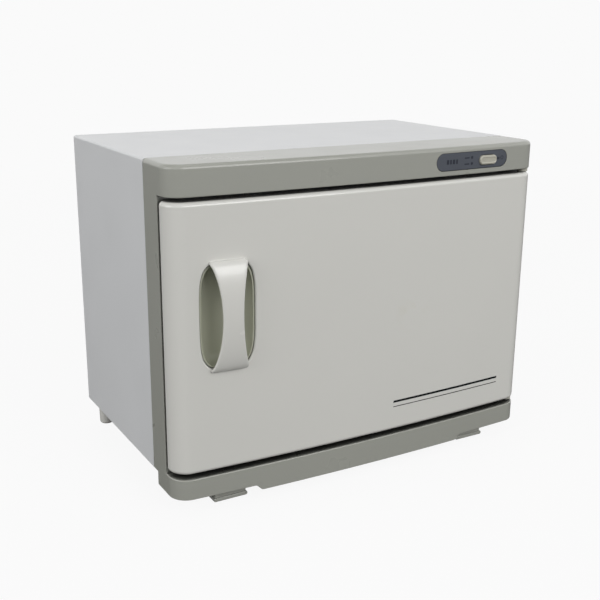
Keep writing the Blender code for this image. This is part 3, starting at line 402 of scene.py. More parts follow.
class Surface:
    """A Principled material built from object coordinates."""

    def __init__(self, name, colour, roughness, metallic=0.0):
        self.material = bpy.data.materials.new(name)
        self.material.use_nodes = True
        self.tree = self.material.node_tree
        self.shader = self.tree.nodes["Principled BSDF"]
        self.shader.inputs["Base Color"].default_value = (*colour, 1.0)
        self.shader.inputs["Roughness"].default_value = roughness
        self.shader.inputs["Metallic"].default_value = metallic
        self.colour = colour
        self.roughness = roughness
        self.place = self.add("ShaderNodeTexCoord").outputs["Object"]
        self.base = None

    def add(self, kind, inputs=None, **settings):
        """A new node, with its settings and its inputs, each a value or a socket to link."""
        node = self.tree.nodes.new(kind)
        for name, value in settings.items():
            setattr(node, name, value)
        for name, value in (inputs or {}).items():
            if isinstance(value, bpy.types.NodeSocket):
                self.tree.links.new(value, node.inputs[name])
            else:
                node.inputs[name].default_value = value
        return node

    def math(self, operation, first, second=0.0):
        """One step of arithmetic on values or sockets."""
        return self.add("ShaderNodeMath", {0: first, 1: second}, operation=operation).outputs[0]

    def spread(self, value, low, high, from_low=0.0, from_high=1.0):
        """A value mapped from one range to another, and kept inside it."""
        inputs = {
            "Value": value, "From Min": from_low, "From Max": from_high, "To Min": low, "To Max": high,
        }
        return self.add("ShaderNodeMapRange", inputs).outputs["Result"]

    def noise(self, scale, detail=3.0, stretch=(1, 1, 1)):
        """Soft noise of this many features a metre, stretched along the axes."""
        inputs = {"Vector": self.place, "Scale": stretch}
        place = self.add("ShaderNodeMapping", inputs).outputs["Vector"]
        inputs = {"Vector": place, "Scale": scale, "Detail": detail}
        return self.add("ShaderNodeTexNoise", inputs).outputs["Fac"]

    def rectangle(self, centre, half, soft=0.0003, lean=0.0):
        """1 inside a rectangle seen from the front, 0 outside; lean slants its upright sides."""
        split = self.add("ShaderNodeSeparateXYZ", {"Vector": self.place})
        up = self.math("SUBTRACT", split.outputs["Z"], centre[1])
        across = self.math("SUBTRACT", split.outputs["X"], centre[0])
        across = self.math("SUBTRACT", across, self.math("MULTIPLY", up, lean))
        inside = []
        for offset, reach in ((across, half[0]), (up, half[1])):
            distance = self.math("ABSOLUTE", offset)
            inside.append(self.spread(distance, 1.0, 0.0, reach - soft, reach + soft))
        return self.math("MULTIPLY", *inside)

    def disc(self, centre, radius, soft=0.0003, hole=0.0):
        """1 inside a disc seen from the front, or inside the ring left by its hole."""
        flat = self.add("ShaderNodeVectorMath", {0: self.place, 1: (1, 0, 1)}, operation="MULTIPLY")
        inputs = {0: flat.outputs[0], 1: (centre[0], 0, centre[1])}
        away = self.add("ShaderNodeVectorMath", inputs, operation="DISTANCE").outputs["Value"]
        inside = self.spread(away, 1.0, 0.0, radius - soft, radius + soft)
        if hole:
            inside = self.math("MULTIPLY", inside, self.spread(away, 0.0, 1.0, hole - soft, hole + soft))
        return inside

    def paint(self, amount, colour):
        """Mixes a colour over the base by an amount from 0 to 1."""
        mix = self.add("ShaderNodeMix", data_type="RGBA")
        self.tree.links.new(amount, mix.inputs["Factor"])
        if self.base:
            self.tree.links.new(self.base, mix.inputs["A"])
        else:
            mix.inputs["A"].default_value = (*self.colour, 1.0)
        mix.inputs["B"].default_value = (*colour, 1.0)
        self.base = mix.outputs["Result"]
        self.tree.links.new(self.base, self.shader.inputs["Base Color"])
        return self

    def mottle(self, scale, amount, share=0.5):
        """Slow uneven darkening of the colour."""
        darker = [channel * (1 - amount) for channel in self.colour]
        return self.paint(self.spread(self.noise(scale), 0.0, 1.0, share - 0.3, share + 0.3), darker)

    def crevice_dust_and_shade(self, reach, colour, amount=0.6, closed=0.15, open=0.75):
        """Painted shade, with some dust, that darkens the colour where other faces are close, from closed
        to open corners.
        """
        inputs = {"Distance": reach}
        near = self.add("ShaderNodeAmbientOcclusion", inputs, samples=8).outputs["AO"]
        return self.paint(self.spread(near, amount, 0.0, closed, open), colour)

    def vary_roughness(self, scale, amount, stretch=(1, 1, 1)):
        """Uneven gloss, this much above and below the surface's own."""
        low, high = self.roughness - amount, self.roughness + amount
        value = self.spread(self.noise(scale, 4.0, stretch), low, high, 0.3, 0.7)
        self.tree.links.new(value, self.shader.inputs["Roughness"])
        return self

    def bump(self, height, depth, strength=1.0):
        """Relief of this depth in metres, on top of any relief already there."""
        node = self.add("ShaderNodeBump", {"Height": height, "Distance": depth, "Strength": strength})
        before = self.shader.inputs["Normal"]
        if before.is_linked:
            self.tree.links.new(before.links[0].from_socket, node.inputs["Normal"])
        self.tree.links.new(node.outputs["Normal"], before)
        return self

    def grain(self, scale, depth, detail=2.0, stretch=(1, 1, 1)):
        """Noise as relief of this depth in metres."""
        return self.bump(self.noise(scale, detail, stretch), depth)

    def set(self, **values):
        """Sets sockets of the shader, with _ for each space in a socket's name."""
        for name, value in values.items():
            self.shader.inputs[name.replace("_", " ")].default_value = value
        return self


# Crevice colours: dust mixed with painted shade, and near-black painted shade for the gaps round the door.
GRIME_AND_SHADE = (0.10, 0.10, 0.09)
PAINTED_SHADE = (0.006, 0.006, 0.005)


def white_paint():
    """Baked enamel on sheet steel: faint orange peel, and corners darkened by a little dust and painted
    shade.
    """
    look = Surface("white_paint", (0.78, 0.79, 0.80), 0.42)
    # Dust and painted shade darken the corners, where other faces are close.
    look.mottle(7, 0.035).crevice_dust_and_shade(0.006, (0.42, 0.42, 0.40), 0.5)
    look.vary_roughness(25, 0.05).grain(420, 0.00002).grain(60, 0.00006)
    return look.set(Coat_Weight=0.15, Coat_Roughness=0.25).material


def moulded(name, colour, roughness, coat=0.25, mottle=0.03, dirt_and_shade=0.5):
    """Moulded plastic: slight flow marks in colour and gloss, a very fine texture, and crevices darkened
    by dust and painted shade.
    """
    look = Surface(name, colour, roughness)
    look.mottle(9, mottle)
    # Dust and painted shade darken the crevices, by this amount.
    if dirt_and_shade:
        look.crevice_dust_and_shade(0.005, GRIME_AND_SHADE, dirt_and_shade)
    look.vary_roughness(18, 0.04).grain(900, 0.00001).grain(30, 0.00002)
    look.set(Coat_Weight=coat, Coat_Roughness=0.12, IOR=1.52)
    return look


def metal(name, colour, roughness, brushed=(1, 1, 1), depth=0.00002, mottle=0.12):
    """Bare or plated metal with fine streaks along one axis."""
    look = Surface(name, colour, roughness, 1.0)
    look.mottle(30, mottle).vary_roughness(60, roughness * 0.3, brushed)
    look.grain(700, depth, 3.0, brushed)
    return look.material


def galvanised():
    """Zinc on steel, with the angular spangle of its crystals."""
    look = Surface("zinc_steel", (0.58, 0.59, 0.60), 0.38, 1.0)
    inputs = {"Vector": look.place, "Scale": 160.0}
    cells = look.add("ShaderNodeTexVoronoi", inputs, feature="F1").outputs["Color"]
    shade = look.add("ShaderNodeSeparateColor", {"Color": cells}).outputs[0]
    look.paint(look.spread(shade, 0.0, 0.8), (0.42, 0.43, 0.45))
    look.tree.links.new(look.spread(shade, 0.28, 0.5), look.shader.inputs["Roughness"])
    return look.grain(900, 0.00001).material


def foam():
    """Cut polyurethane foam, open pores and warm colour."""
    look = Surface("foam", (0.76, 0.70, 0.52), 0.95)
    inputs = {"Vector": look.place, "Scale": 700.0}
    pores = look.add("ShaderNodeTexVoronoi", inputs, feature="F1").outputs["Distance"]
    look.mottle(20, 0.2).paint(look.spread(pores, 0.5, 0.0, 0.1, 0.4), (0.5, 0.43, 0.28))
    return look.bump(pores, 0.0005).material


def glass():
    """Clear quartz with the faint haze of the tube's inner wall."""
    look = Surface("glass", (0.86, 0.92, 0.96), 0.06)
    look.vary_roughness(90, 0.03)
    return look.set(Transmission_Weight=0.75, IOR=1.46).material


def slate_label():
    """Printed overlay: slate blue-grey with darker plain marks beside the switch."""
    look = Surface("slate_label", (0.088, 0.098, 0.120), 0.38)
    look.mottle(60, 0.12)
    middle = (LABEL[0].z + LABEL[1].z) / 2 + ORIGIN.z
    left = LABEL[0].x
    ink = (0.018, 0.022, 0.036)
    bars = (
        (0.0150, 0.0, 0.0016, 0.0024), (0.0190, 0.0, 0.0012, 0.0024), (0.0232, 0.0, 0.0016, 0.0024),
        (0.0274, 0.0, 0.0012, 0.0024), (0.0416, 0.0030, 0.0034, 0.0007),
        (0.0416, -0.0036, 0.0034, 0.0007), (0.0868, 0.0, 0.0021, 0.0012),
    )
    for x, z, half_x, half_z in bars:
        look.paint(look.rectangle((left + x, middle + z), (half_x, half_z), 0.0003), ink)
    for x, z in ((0.0486, 0.0032), (0.0486, -0.0034)):
        look.paint(look.disc((left + x, middle + z), 0.0016), ink)
    look.paint(look.disc((left + 0.0926, middle + 0.0004), 0.0022, 0.0002, 0.0014), ink)
    return look.grain(1500, 0.00001).set(Coat_Weight=0.4, Coat_Roughness=0.2).material


def door_skin():
    """The door's glossy plastic, with painted shade near black on its edges in the gaps, a faint old stain
    and two plain stripes low on the right.
    """
    look = moulded("white_plastic", (0.745, 0.740, 0.700), 0.20, 0.35, 0.02, 0.35)
    # Painted shade: the edges that sit in the gaps round the door turn near black.
    look.crevice_dust_and_shade(0.014, PAINTED_SHADE, 0.9, 0.15, 0.40)
    blotch = look.noise(55, 4.0)
    place = look.disc((0.0560, ORIGIN.z + 0.1480), 0.013, 0.012)
    amount = look.math("MULTIPLY", look.spread(blotch, 0.0, 0.35, 0.50, 0.72), place)
    look.paint(amount, (0.60, 0.58, 0.40))
    ink, x, half_x, lean = (0.016, 0.018, 0.020), 0.1095, 0.0765, 0.3
    for z, half_z in ((0.0465, 0.0013), (0.0405, 0.0005)):
        look.paint(look.rectangle((x, ORIGIN.z + z), (half_x, half_z), 0.0002, lean), ink)
    return look.material


def grey_plastic():
    """The front frame's semi-gloss plastic, with painted shade making it nearly black in the gaps round
    the door.
    """
    look = moulded("grey_plastic", (0.385, 0.390, 0.350), 0.30, 0.3, 0.04, 0.0)
    # Painted shade: faces close together in the gaps round the door turn near black.
    return look.crevice_dust_and_shade(0.016, PAINTED_SHADE, 0.97, 0.35, 0.62).material


WHITE_PAINT = white_paint()
DOOR_SKIN = door_skin()
WHITE_PLASTIC = moulded("white_plastic_plain", (0.745, 0.740, 0.700), 0.24).material
GREY_PLASTIC = grey_plastic()
OLIVE_PLASTIC = moulded("olive_plastic", (0.445, 0.455, 0.360), 0.38, 0.15, 0.05, 0.5).material
SLATE_LABEL = slate_label()
CREAM_PLASTIC = moulded("cream_plastic", (0.50, 0.485, 0.41), 0.30, 0.2, 0.06, 0.7).material
BLACK_PLASTIC = moulded("black_plastic", (0.018, 0.018, 0.018), 0.45, 0.0, 0.1, 0.0).material
NYLON = moulded("nylon", (0.50, 0.49, 0.42), 0.42, 0.0, 0.06, 0.6).material
CERAMIC = moulded("ceramic", (0.78, 0.76, 0.70), 0.62, 0.0, 0.05, 0.3).material
SILICONE = moulded("silicone", (0.52, 0.52, 0.50), 0.62, 0.0, 0.05, 0.4).material
MAGNET = moulded("magnet", (0.06, 0.06, 0.065), 0.7, 0.0, 0.2, 0.0).material
ALUMINIUM = metal("aluminium", (0.78, 0.79, 0.80), 0.30, (1, 12, 12))
CHROMED_WIRE = metal("chromed_wire", (0.80, 0.80, 0.82), 0.10, (1, 1, 1), 0.000005, 0.03)
ZINC_STEEL = galvanised()
FOAM = foam()
GLASS = glass()
SLEEVES = [
    moulded(name, colour, 0.45, 0.0, 0.1, 0.0).material
    for name, colour in (
        ("red_sleeve", (0.42, 0.03, 0.02)),
        ("blue_sleeve", (0.03, 0.08, 0.33)),
        ("brown_sleeve", (0.14, 0.06, 0.02)),
    )
]
FINISHES = {
    material.name: material for material in (
        WHITE_PAINT, GREY_PLASTIC, OLIVE_PLASTIC, SLATE_LABEL, CREAM_PLASTIC, BLACK_PLASTIC, NYLON,
        CERAMIC, SILICONE, MAGNET, ALUMINIUM, CHROMED_WIRE, ZINC_STEEL, FOAM, GLASS, *SLEEVES,
    )
}
FINISHES["white_plastic"] = WHITE_PLASTIC


# ---------------------------------------------------------------- casing


def make_casing():
    """Sheet-steel wrap: top and both sides in one fold, and the flange that the rear panel screws to."""
    low, high = CASING
    fold = 0.0026
    path = [(-HALF, 0.0)]
    path += arc((-HALF + fold, high.z - fold), fold, 180, 90, 8)
    path += arc((HALF - fold, high.z - fold), fold, 90, 0, 8)
    path += [(HALF, 0.0)]
    rows = [[(x, y, z) for x, z in path] for y in (low.y, high.y)]
    wrap = thicken(sheet(rows), SHEET, -1.0, 0.00025)
    inside = HALF - SHEET - TINY
    outer = rounded(-inside, inside, 0.0018, high.z - SHEET - TINY, 0.002, 3)
    front, width = PANEL[0].y - 0.0003 - SHEET, 0.018
    section = ((front, 0.0), (front + SHEET, 0.0), (front + SHEET, width), (front, width))
    flange = solid(outer, section, "Y", closed=True)
    show("outer_casing", gather((wrap, flange)), WHITE_PAINT)


def make_rear_panel():
    """Flat plate with three rows of vents, four screw holes and the lead's hole."""
    low, high = PANEL
    plate = solid(
        rounded(low.x, high.x, low.z, high.z, 0.002, 4), edge(low.y, high.y, 0.0002, 0.0003, 2), "Y"
    )
    cutters = []
    for z in (0.286, 0.296, 0.306):
        for i in range(5):
            x = -0.052 + 0.026 * i
            slot = stadium(x - 0.010, x + 0.010, z - 0.0015, z + 0.0015, 6)
            cutters.append(solid(slot, lip(high.y, 0.004, 0.0004, 3, -1.0), "Y"))
    front, back = low.y - 0.003, high.y + 0.003
    for screw in REAR_SCREWS:
        cutters.append(rod((screw.x, front, screw.z), (screw.x, back, screw.z), 0.0020))
    hole = centre_of("cord_grommet")
    cutters.append(rod((hole.x, front, hole.z), (hole.x, back, hole.z), 0.0073, 48))
    show("rear_panel", cut(plate, *cutters), WHITE_PAINT)


def screw_mesh(radius, height, shank, length):
    """Cross-recessed pan head on its shank, standing on z = 0."""
    crown = [(0, height)]
    crown += [(radius * s**0.8, height * (0.25 + 0.75 * c**0.7)) for s, c in quarter(7)[1:]]
    profile = crown + [(radius, 0), (shank, 0), (shank, -length), (0, -length - shank * 0.6)]
    head = turned(profile, (0, 0, 0), steps=32)
    reach, width, depth = radius * 0.62, radius * 0.14, height * 0.35
    arms = [
        block((-reach, -width, depth), (reach, width, height * 2), 0.0001),
        block((-width, -reach, depth), (width, reach, height * 2), 0.0001),
    ]
    return cut(cut(head, arms[0]), arms[1])


def make_screws():
    """The rear panel's four screws and the door's four, all facing the rear."""
    for group, size in (("rear_screw", (0.0034, 0.0019, 0.0016, 0.0070)),
                        ("door_screw", (0.0028, 0.0014, 0.0014, 0.0060))):
        for i in range(1, 5):
            low, high = local(f"{group}_{i}")
            middle = (low + high) / 2
            screw = screw_mesh(*size)
            spin = Matrix.Rotation(math.radians(23 + 37 * i), 4, "Z")
            lay = Matrix.Rotation(math.radians(-90), 4, "X")
            screw.transform(Matrix.Translation((middle.x, high.y - size[1], middle.z)) @ lay @ spin)
            show(f"{group}_{i}", screw, ZINC_STEEL, 40)


def make_grommet():
    """Black bush round the hole where the mains lead leaves."""
    low, high = local("cord_grommet")
    middle = (low + high) / 2
    bore, neck, flange = 0.0036, 0.0069, (high.x - low.x) / 2
    front, back = PANEL[0].y - middle.y, PANEL[1].y - middle.y
    tail, head = low.y - middle.y, high.y - middle.y
    soft = 0.0007
    profile = [
        (bore + soft, head), (flange - soft, head), (flange - soft * 0.3, head - soft * 0.3),
        (flange, head - soft), (flange, back + 0.0003), (neck, back + 0.0003), (neck, front - 0.0003),
        (flange, front - 0.0003), (flange * 0.97, front - 0.0016), (flange * 0.88, tail + soft),
        (flange * 0.84, tail), (bore, tail), (bore, head - soft), (bore + soft * 0.3, head - soft * 0.3),
    ]
    show("cord_grommet", turned(profile, middle, (0, 1, 0), 64, closed=True), BLACK_PLASTIC)


def make_feet():
    """Grey block feet in the bottom bar's pockets, and round white feet at the rear."""
    lip_width, rim_height, rim_edge = 0.0016, 0.0042, 0.0009
    for side in ("left", "right"):
        low, high = local(f"front_foot_{side}")
        body = block(
            (low.x + lip_width, low.y + lip_width, low.z + lip_width),
            (high.x - lip_width, high.y - lip_width, 0.0),
        )
        outline = rounded(low.x, high.x, low.z, low.z + rim_height, 0.0020, 8)
        rim = solid(outline, edge(low.y, high.y, rim_edge, rim_edge, 4), "Y")
        show(f"front_foot_{side}", unite(rim, body), GREY_PLASTIC)
        low, high = local(f"rear_foot_{side}")
        middle, radius, drop = (low + high) / 2, (high.x - low.x) / 2, low.z
        profile = [(0, high.z), (radius, high.z), (radius * 0.94, -0.012), (radius * 0.90, drop + 0.003)]
        profile += [
            (radius * 0.66 + 0.24 * radius * c, drop + 0.003 - 0.003 * s) for s, c in quarter(6)[1:]
        ]
        profile += [(radius * 0.30, drop), (radius * 0.26, drop + 0.0012), (0, drop + 0.0012)]
        show(f"rear_foot_{side}", turned(profile, (middle.x, middle.y, 0)), WHITE_PLASTIC)


# ---------------------------------------------------------------- front frame


def skirt_drop(x):
    """How much lower the bottom bar hangs here: all of it in the middle, none at the ends."""
    def ramp(value):
        t = min(max(value / (2 * SKIRT_SLOPE) + 0.5, 0.0), 1.0)
        return t * t * (3 - 2 * t)

    return (FRAME[0].z - LOW_BAR_BOTTOM) * ramp(x - SKIRT_LEFT) * ramp(SKIRT_RIGHT - x)


def make_low_bar():
    """Bowed bar, open below, whose front wall hangs deeper in the middle."""
    steps = [SKIRT_SLOPE * (i / 4 - 1) for i in range(9)]
    extra = [SKIRT_LEFT + s + 0.0001 for s in steps] + [SKIRT_RIGHT + s + 0.0001 for s in steps]
    outline = bowed(LOW_BAR_REAR, extra=extra)
    foot = LOW_BAR_BOTTOM
    rim = (
        (0.0008, WALL), (0.0002, WALL - 0.0004), (0.0, WALL - 0.0010),
        (0.0, 0.0010), (0.0003, 0.0003), (0.0010, 0.0),
    )
    levels = [(0.0010, WALL)] + [(foot + height, inset) for height, inset in rim]
    levels += edge(0.0, LOW_BAR_TOP, 0.0, 0.0011, 5)[1:]
    bar = solid(outline, levels)
    for vert in bar.vertices:
        if vert.co.z < foot + 0.002 and vert.co.y < 0.02:
            vert.co.z += skirt_drop(vert.co.x)
    return bar


def label_plate(grow, front, back):
    """A round-ended plate that follows the bow, from front to back of the bowed face."""
    low, high = LABEL[0] - Vector((grow, 0, grow)), LABEL[1] + Vector((grow, 0, grow))
    radius, middle = (high.z - low.z) / 2, (low.z + high.z) / 2
    left = [low.x + radius * (1 - c) for _, c in quarter(12)]
    straight = [left[-1] + (high.x - radius - left[-1]) * i / 20 for i in range(1, 20)]
    xs = left + straight + [low.x + high.x - x for x in reversed(left)]
    rings = []
    for x in xs:
        out = max(low.x + radius - x, x - high.x + radius, 0.0)
        reach = math.sqrt(max(radius**2 - out**2, 1e-9))
        y = bow(x)
        soft = min(0.0003, reach / 2)
        rings.append([
            (x, y + front + soft, middle - reach), (x, y + front, middle - reach + soft),
            (x, y + front, middle + reach - soft), (x, y + front + soft, middle + reach),
            (x, y + back, middle + reach), (x, y + back, middle - reach),
        ])
    return loft(rings)


def rocker_window():
    """Cutter for the rocker's hole, a little larger than the button."""
    low, high = local("rocker_button")
    middle, half, clear = (low.z + high.z) / 2, ROCKER_HALF_HEIGHT, ROCKER_CLEARANCE
    outline = stadium(low.x - clear, high.x + clear, middle - half - clear, middle + half + clear, 10)
    return solid(outline, [(-0.02, 0.0), (0.02, 0.0)], "Y")


def make_front_frame():
    """Grey moulding: a ring round the chamber's mouth, with a top bar and a deeper bottom bar."""
    rear = FRAME[1].y
    side = HALF - TINY
    ring = solid(
        rounded(-side, side, 0.0, CASING[1].z - 0.006, 0.0005, 2),
        edge(RING_FRONT, rear - TINY, 0.0008, 0.0, 4), "Y",
    )
    top_bar = solid(
        bowed(rear, rear_moves=False), edge(TOP_BAR_BOTTOM, CASING[1].z, 0.0010, BAR_EDGE, 8)
    )
    body = unite(ring, top_bar, make_low_bar())
    hollow_side = HALF - WALL
    clips = [
        block((x - 0.0009, rear - 0.0012, z), (x + 0.0009, rear + 0.0010, z + height), 0.0001)
        for x in (-HALF, HALF) for z, height in ((0.3146, 0.0077), (0.0080, 0.0025))
    ]
    body = cut(
        body,
        solid(rounded(*MOUTH, 10), lip(RING_FRONT, 0.05, 0.0010), "Y"),
        *clips,
    )
    hollow_low = (-hollow_side, RING_FRONT + WALL, WALL)
    hollow_high = (hollow_side, 0.1, TOP_BAR_BOTTOM + 0.004)
    body = cut(body, block(hollow_low, hollow_high, 0.0005))
    body = cut(
        body,
        solid(bowed(0.09, steps=20, corner_steps=8),
              [(TOP_BAR_BOTTOM + WALL, WALL + TINY), (CASING[1].z - WALL, WALL + TINY)]),
    )
    recess = LABEL[1].y - bow(LABEL[1].x) + 0.0003
    body = cut(body, label_plate(0.0005, -0.003, recess))
    body = cut(body, rocker_window())
    pins = [
        rod((HINGE.x, HINGE.y, low), (HINGE.x, HINGE.y, high), 0.0030)
        for low, high in ((0.285, 0.300), (-0.005, 0.010))
    ]
    show("front_frame", cut(body, *pins), GREY_PLASTIC)


def make_label():
    """Slate overlay with its window for the switch."""
    depth = LABEL[1].y - bow(LABEL[1].x)
    show("control_label", cut(label_plate(0.0, 0.0, depth), rocker_window()), SLATE_LABEL)


def make_rocker():
    """Cream rocker with a dished face."""
    low, high = local("rocker_button")
    middle, half = (low + high) / 2, ROCKER_HALF_HEIGHT
    outline = rounded(low.x, high.x, middle.z - half, middle.z + half, 0.0044, 10)
    front, back = low.y, high.y
    rim = 0.0018
    levels = [(back, 0.0)] + [(front + rim * (1 - s), rim * (1 - c)) for s, c in quarter(6)]
    levels += [(front + 0.0003, 0.0024), (front + 0.0006, 0.0034)]
    show("rocker_button", solid(outline, levels, "Y"), CREAM_PLASTIC)


# ---------------------------------------------------------------- door


def make_door_shell():
    """White moulded tray, open to the rear, bowed like the bars above and below it."""
    low, high = DOOR
    shell = solid(
        bowed(high.y, 0.003, rear_moves=False), edge(low.z, high.z, DOOR_EDGE, DOOR_EDGE, 8)
    )
    hollow = solid(
        bowed(high.y + 0.01, steps=20, corner_steps=8),
        [(low.z + WALL, DOOR_WALL), (high.z - WALL, DOOR_WALL)],
    )
    rings = [
        [(x, bow(x) + depth, z) for x, z in cup_outline(inset - 0.0003)]
        for depth, inset in lip(0.0, 0.008, 0.0016)
    ]
    bushes = [
        rod((HINGE.x, HINGE.y, bottom), (HINGE.x, HINGE.y, top), 0.0047)
        for bottom, top in ((high.z - 0.0117, high.z + 0.006), (low.z - 0.0076, low.z + 0.0109))
    ]
    shell = cut(shell, hollow)
    show("door_shell", cut(shell, loft(rings), *bushes), DOOR_SKIN)


def make_handle_cup():
    """Dished recess whose walls curve into a flat floor."""
    wall, start, deepest_shrink, steps = 0.0016, 0.0022, 0.0140, 14
    rings = []
    for i in range(steps + 1):
        t = i / steps
        shrink = deepest_shrink * (1 - math.sqrt(max(1 - t**2.2, 0.0)))
        ring = []
        for x, z in cup_outline(shrink + wall + 0.0003):
            face = bow(x) + start
            ring.append((x, face + t * (CUP_FLOOR - face), z))
        rings.append(ring)
    show("handle_cup", thicken(sheet(rings, ring=True), wall, 1.0), OLIVE_PLASTIC)


def strap_stations():
    """Down the strap: its outer and inner face's (z, stand-off from the door), and its width."""
    half, fillet, sunk, base, steps = STRAP_HALF_HEIGHT, 0.0020, -0.0030, 0.0020, 36
    stations = []
    for i in range(steps + 1):
        angle = math.pi / 2 * (2 * i / steps - 1)
        z, rise = half * math.sin(angle), math.cos(angle)
        outer = (z, base + (STRAP_STANDOFF - base) * rise**0.9)
        inner_rise = STRAP_STANDOFF - STRAP_THICKNESS - sunk
        inner = ((half - STRAP_THICKNESS) * math.sin(angle), sunk + inner_rise * rise**0.6)
        stations.append((outer, inner))
    foot = [(half + fillet * (1 - c), fillet * (1 - s) - 0.0003) for s, c in quarter(6)]
    inner_z = half - STRAP_THICKNESS
    top = [((z, stand), (inner_z, sunk - 0.0002 * (i + 1))) for i, (z, stand) in enumerate(foot)]
    bottom = [((-z, stand), (-inner_z, sunk - 0.0002 * (i + 1))) for i, (z, stand) in enumerate(foot)]
    for outer, inner in list(reversed(bottom)) + stations + top:
        reach = min(abs(outer[0]) / half, 1.0)
        yield outer, inner, STRAP_WAIST + (STRAP_END_WIDTH - STRAP_WAIST) * reach**2.2


def make_handle_strap():
    """Arched grip over the cup, waisted in the middle, that runs out into the door at both ends."""
    rings, around = [], 28
    for outer, inner, width in strap_stations():
        ring = []
        for i in range(around):
            angle = 2 * math.pi * (i + 0.5) / around
            c, s = math.cos(angle), math.sin(angle)
            across = math.copysign(abs(c) ** 0.28, c) * width / 2
            share = 0.5 + 0.5 * math.copysign(abs(s) ** 0.5, s)
            z = inner[0] + (outer[0] - inner[0]) * share
            stand = inner[1] + (outer[1] - inner[1]) * share
            x = HANDLE.x + across
            ring.append((x, bow(x) - stand, HANDLE.z + z))
        rings.append(ring)
    show("handle_strap", loft(rings), WHITE_PLASTIC, 60)


def make_door_inside():
    """Inner panel with its raised plug, and the soft seal round the plug."""
    low, high = local("door_inner_panel")
    front, face = 0.0190, 0.0214
    plate = rounded(low.x, high.x, low.z, high.z, 0.003, 8)
    plug_side, plug_low, plug_high = 0.184, 0.038, 0.270
    plug = rounded(-plug_side, plug_side, plug_low, plug_high, 0.010, 8)
    rings = [[(x, y, z) for x, z in plate(inset)] for y, inset in edge(front, face, 0.0, 0.0004, 3)]
    fillet = 0.0008
    levels = [(face + fillet * (1 - c), -fillet * (1 - s)) for s, c in quarter(4)]
    levels += edge(face, high.y, 0.0, 0.0016, 6)[1:]
    rings += [[(x, y, z) for x, z in plug(inset)] for y, inset in levels]
    wall = 0.003
    hollow = rounded(wall - plug_side, plug_side - wall, plug_low + wall, plug_high - wall, 0.008, 4)
    panel = cut(
        loft(rings),
        solid(hollow, [(low.y - 0.002, 0.0), (high.y - 0.0024, 0.0)], "Y"),
        *[rod((s.x, low.y - 0.002, s.z), (s.x, high.y + 0.002, s.z), 0.0019) for s in DOOR_SCREWS],
    )
    show("door_inner_panel", panel, WHITE_PLASTIC)

    low, high = local("door_gasket")
    width = 0.008
    outline = rounded(low.x, high.x, low.z, high.z, 0.010, 10)
    section = [(low.y, 0.0006), (low.y, width - 0.0006), (low.y + 0.0008, width)]
    section += [
        (low.y + 0.0008 + (high.y - low.y - 0.0008) * math.sin(a), width / 2 + width / 2 * math.cos(a))
        for a in (math.radians(180 * i / 12) for i in range(1, 12))
    ]
    section += [(low.y + 0.0008, 0.0)]
    show("door_gasket", solid(outline, section, "Y", closed=True), SILICONE, 50)


def make_hinges():
    """Steel pins in the two bars, turning in nylon bushes pressed into the door's ends."""
    for name, up in (("top", 1), ("bottom", -1)):
        low, high = local(f"hinge_pin_{name}")
        length = high.z - low.z
        head, pin = (high.x - low.x) / 2, 0.0025
        profile = [
            (0, length), (head * 0.7, length), (head, length - 0.0006), (head, length - 0.0022),
            (pin, length - 0.0022), (pin, 0.0015), (pin * 0.7, 0), (0, 0),
        ]
        start = low.z if up > 0 else high.z
        show(f"hinge_pin_{name}", turned(profile, (HINGE.x, HINGE.y, start), (0, 0, up)), ZINC_STEEL)

        low, high = local(f"hinge_bush_{name}")
        face = DOOR[1].z if up > 0 else DOOR[0].z
        bore, sleeve, flange, thick, depth = 0.0028, 0.0044, 0.0058, 0.0040, 0.0070
        profile = [
            (bore + 0.0004, thick), (flange - 0.0006, thick), (flange, thick - 0.0006), (flange, 0.0003),
            (sleeve, 0.0003), (sleeve, -depth), (bore, -depth), (bore, thick - 0.0004),
        ]
        bush = turned(profile, (HINGE.x, HINGE.y, face), (0, 0, up), closed=True)
        show(f"hinge_bush_{name}", bush, NYLON)


# ---------------------------------------------------------------- chamber


def make_liner():
    """Drawn aluminium chamber with round corners, and a flange behind the frame's face."""
    low, high = LINER
    reach = 0.010
    left, right = low.x + reach + SHEET, high.x - reach - SHEET
    bottom, top = low.z + reach + SHEET, high.z - reach - SHEET
    mouth = rounded(left, right, bottom, top, 0.006, 8)
    bend, corner = 0.0016, 0.0060
    levels = [(low.y + SHEET, -reach - SHEET)]
    levels += [(low.y + SHEET + bend * (1 - c), -bend * (1 - s)) for s, c in quarter(4)]
    back = high.y - SHEET
    levels += [(back - corner + corner * s, corner * (1 - c)) for s, c in quarter(6)]
    rings = [[(x, y, z) for x, z in mouth(inset)] for y, inset in levels]
    show("inner_liner", thicken(sheet(rings, ring=True), SHEET, 1.0), ALUMINIUM)


def make_rack():
    """Chromed wire shelf that stands on the chamber floor."""
    low, high = local("towel_rack")
    wire, rim = 0.0013, 0.0020
    left, right, front, rear = low.x + rim, high.x - rim, low.y + rim, high.y - rim
    top, foot = high.z - rim, low.z + rim
    wires = [tube([(x, y, top) for x, y in rounded(left, right, front, rear, 0.015, 8)(0.0)], rim, True)]
    cross = 11
    for i in range(cross):
        x = right * 0.86 * (2 * i / (cross - 1) - 1)
        wires.append(tube([(x, front, top), (x, rear, top)], wire))
    bend = 0.004
    for x in (left * 0.60, right * 0.60):
        path = [(front, top)]
        path += arc((front + 0.010, foot + bend), bend, 220, 270, 5)
        path += arc((rear - 0.010, foot + bend), bend, 270, 320, 5)
        path += [(rear, top)]
        wires.append(tube([(x, y, z) for y, z in path], rim))
    show("towel_rack", gather(wires), CHROMED_WIRE)


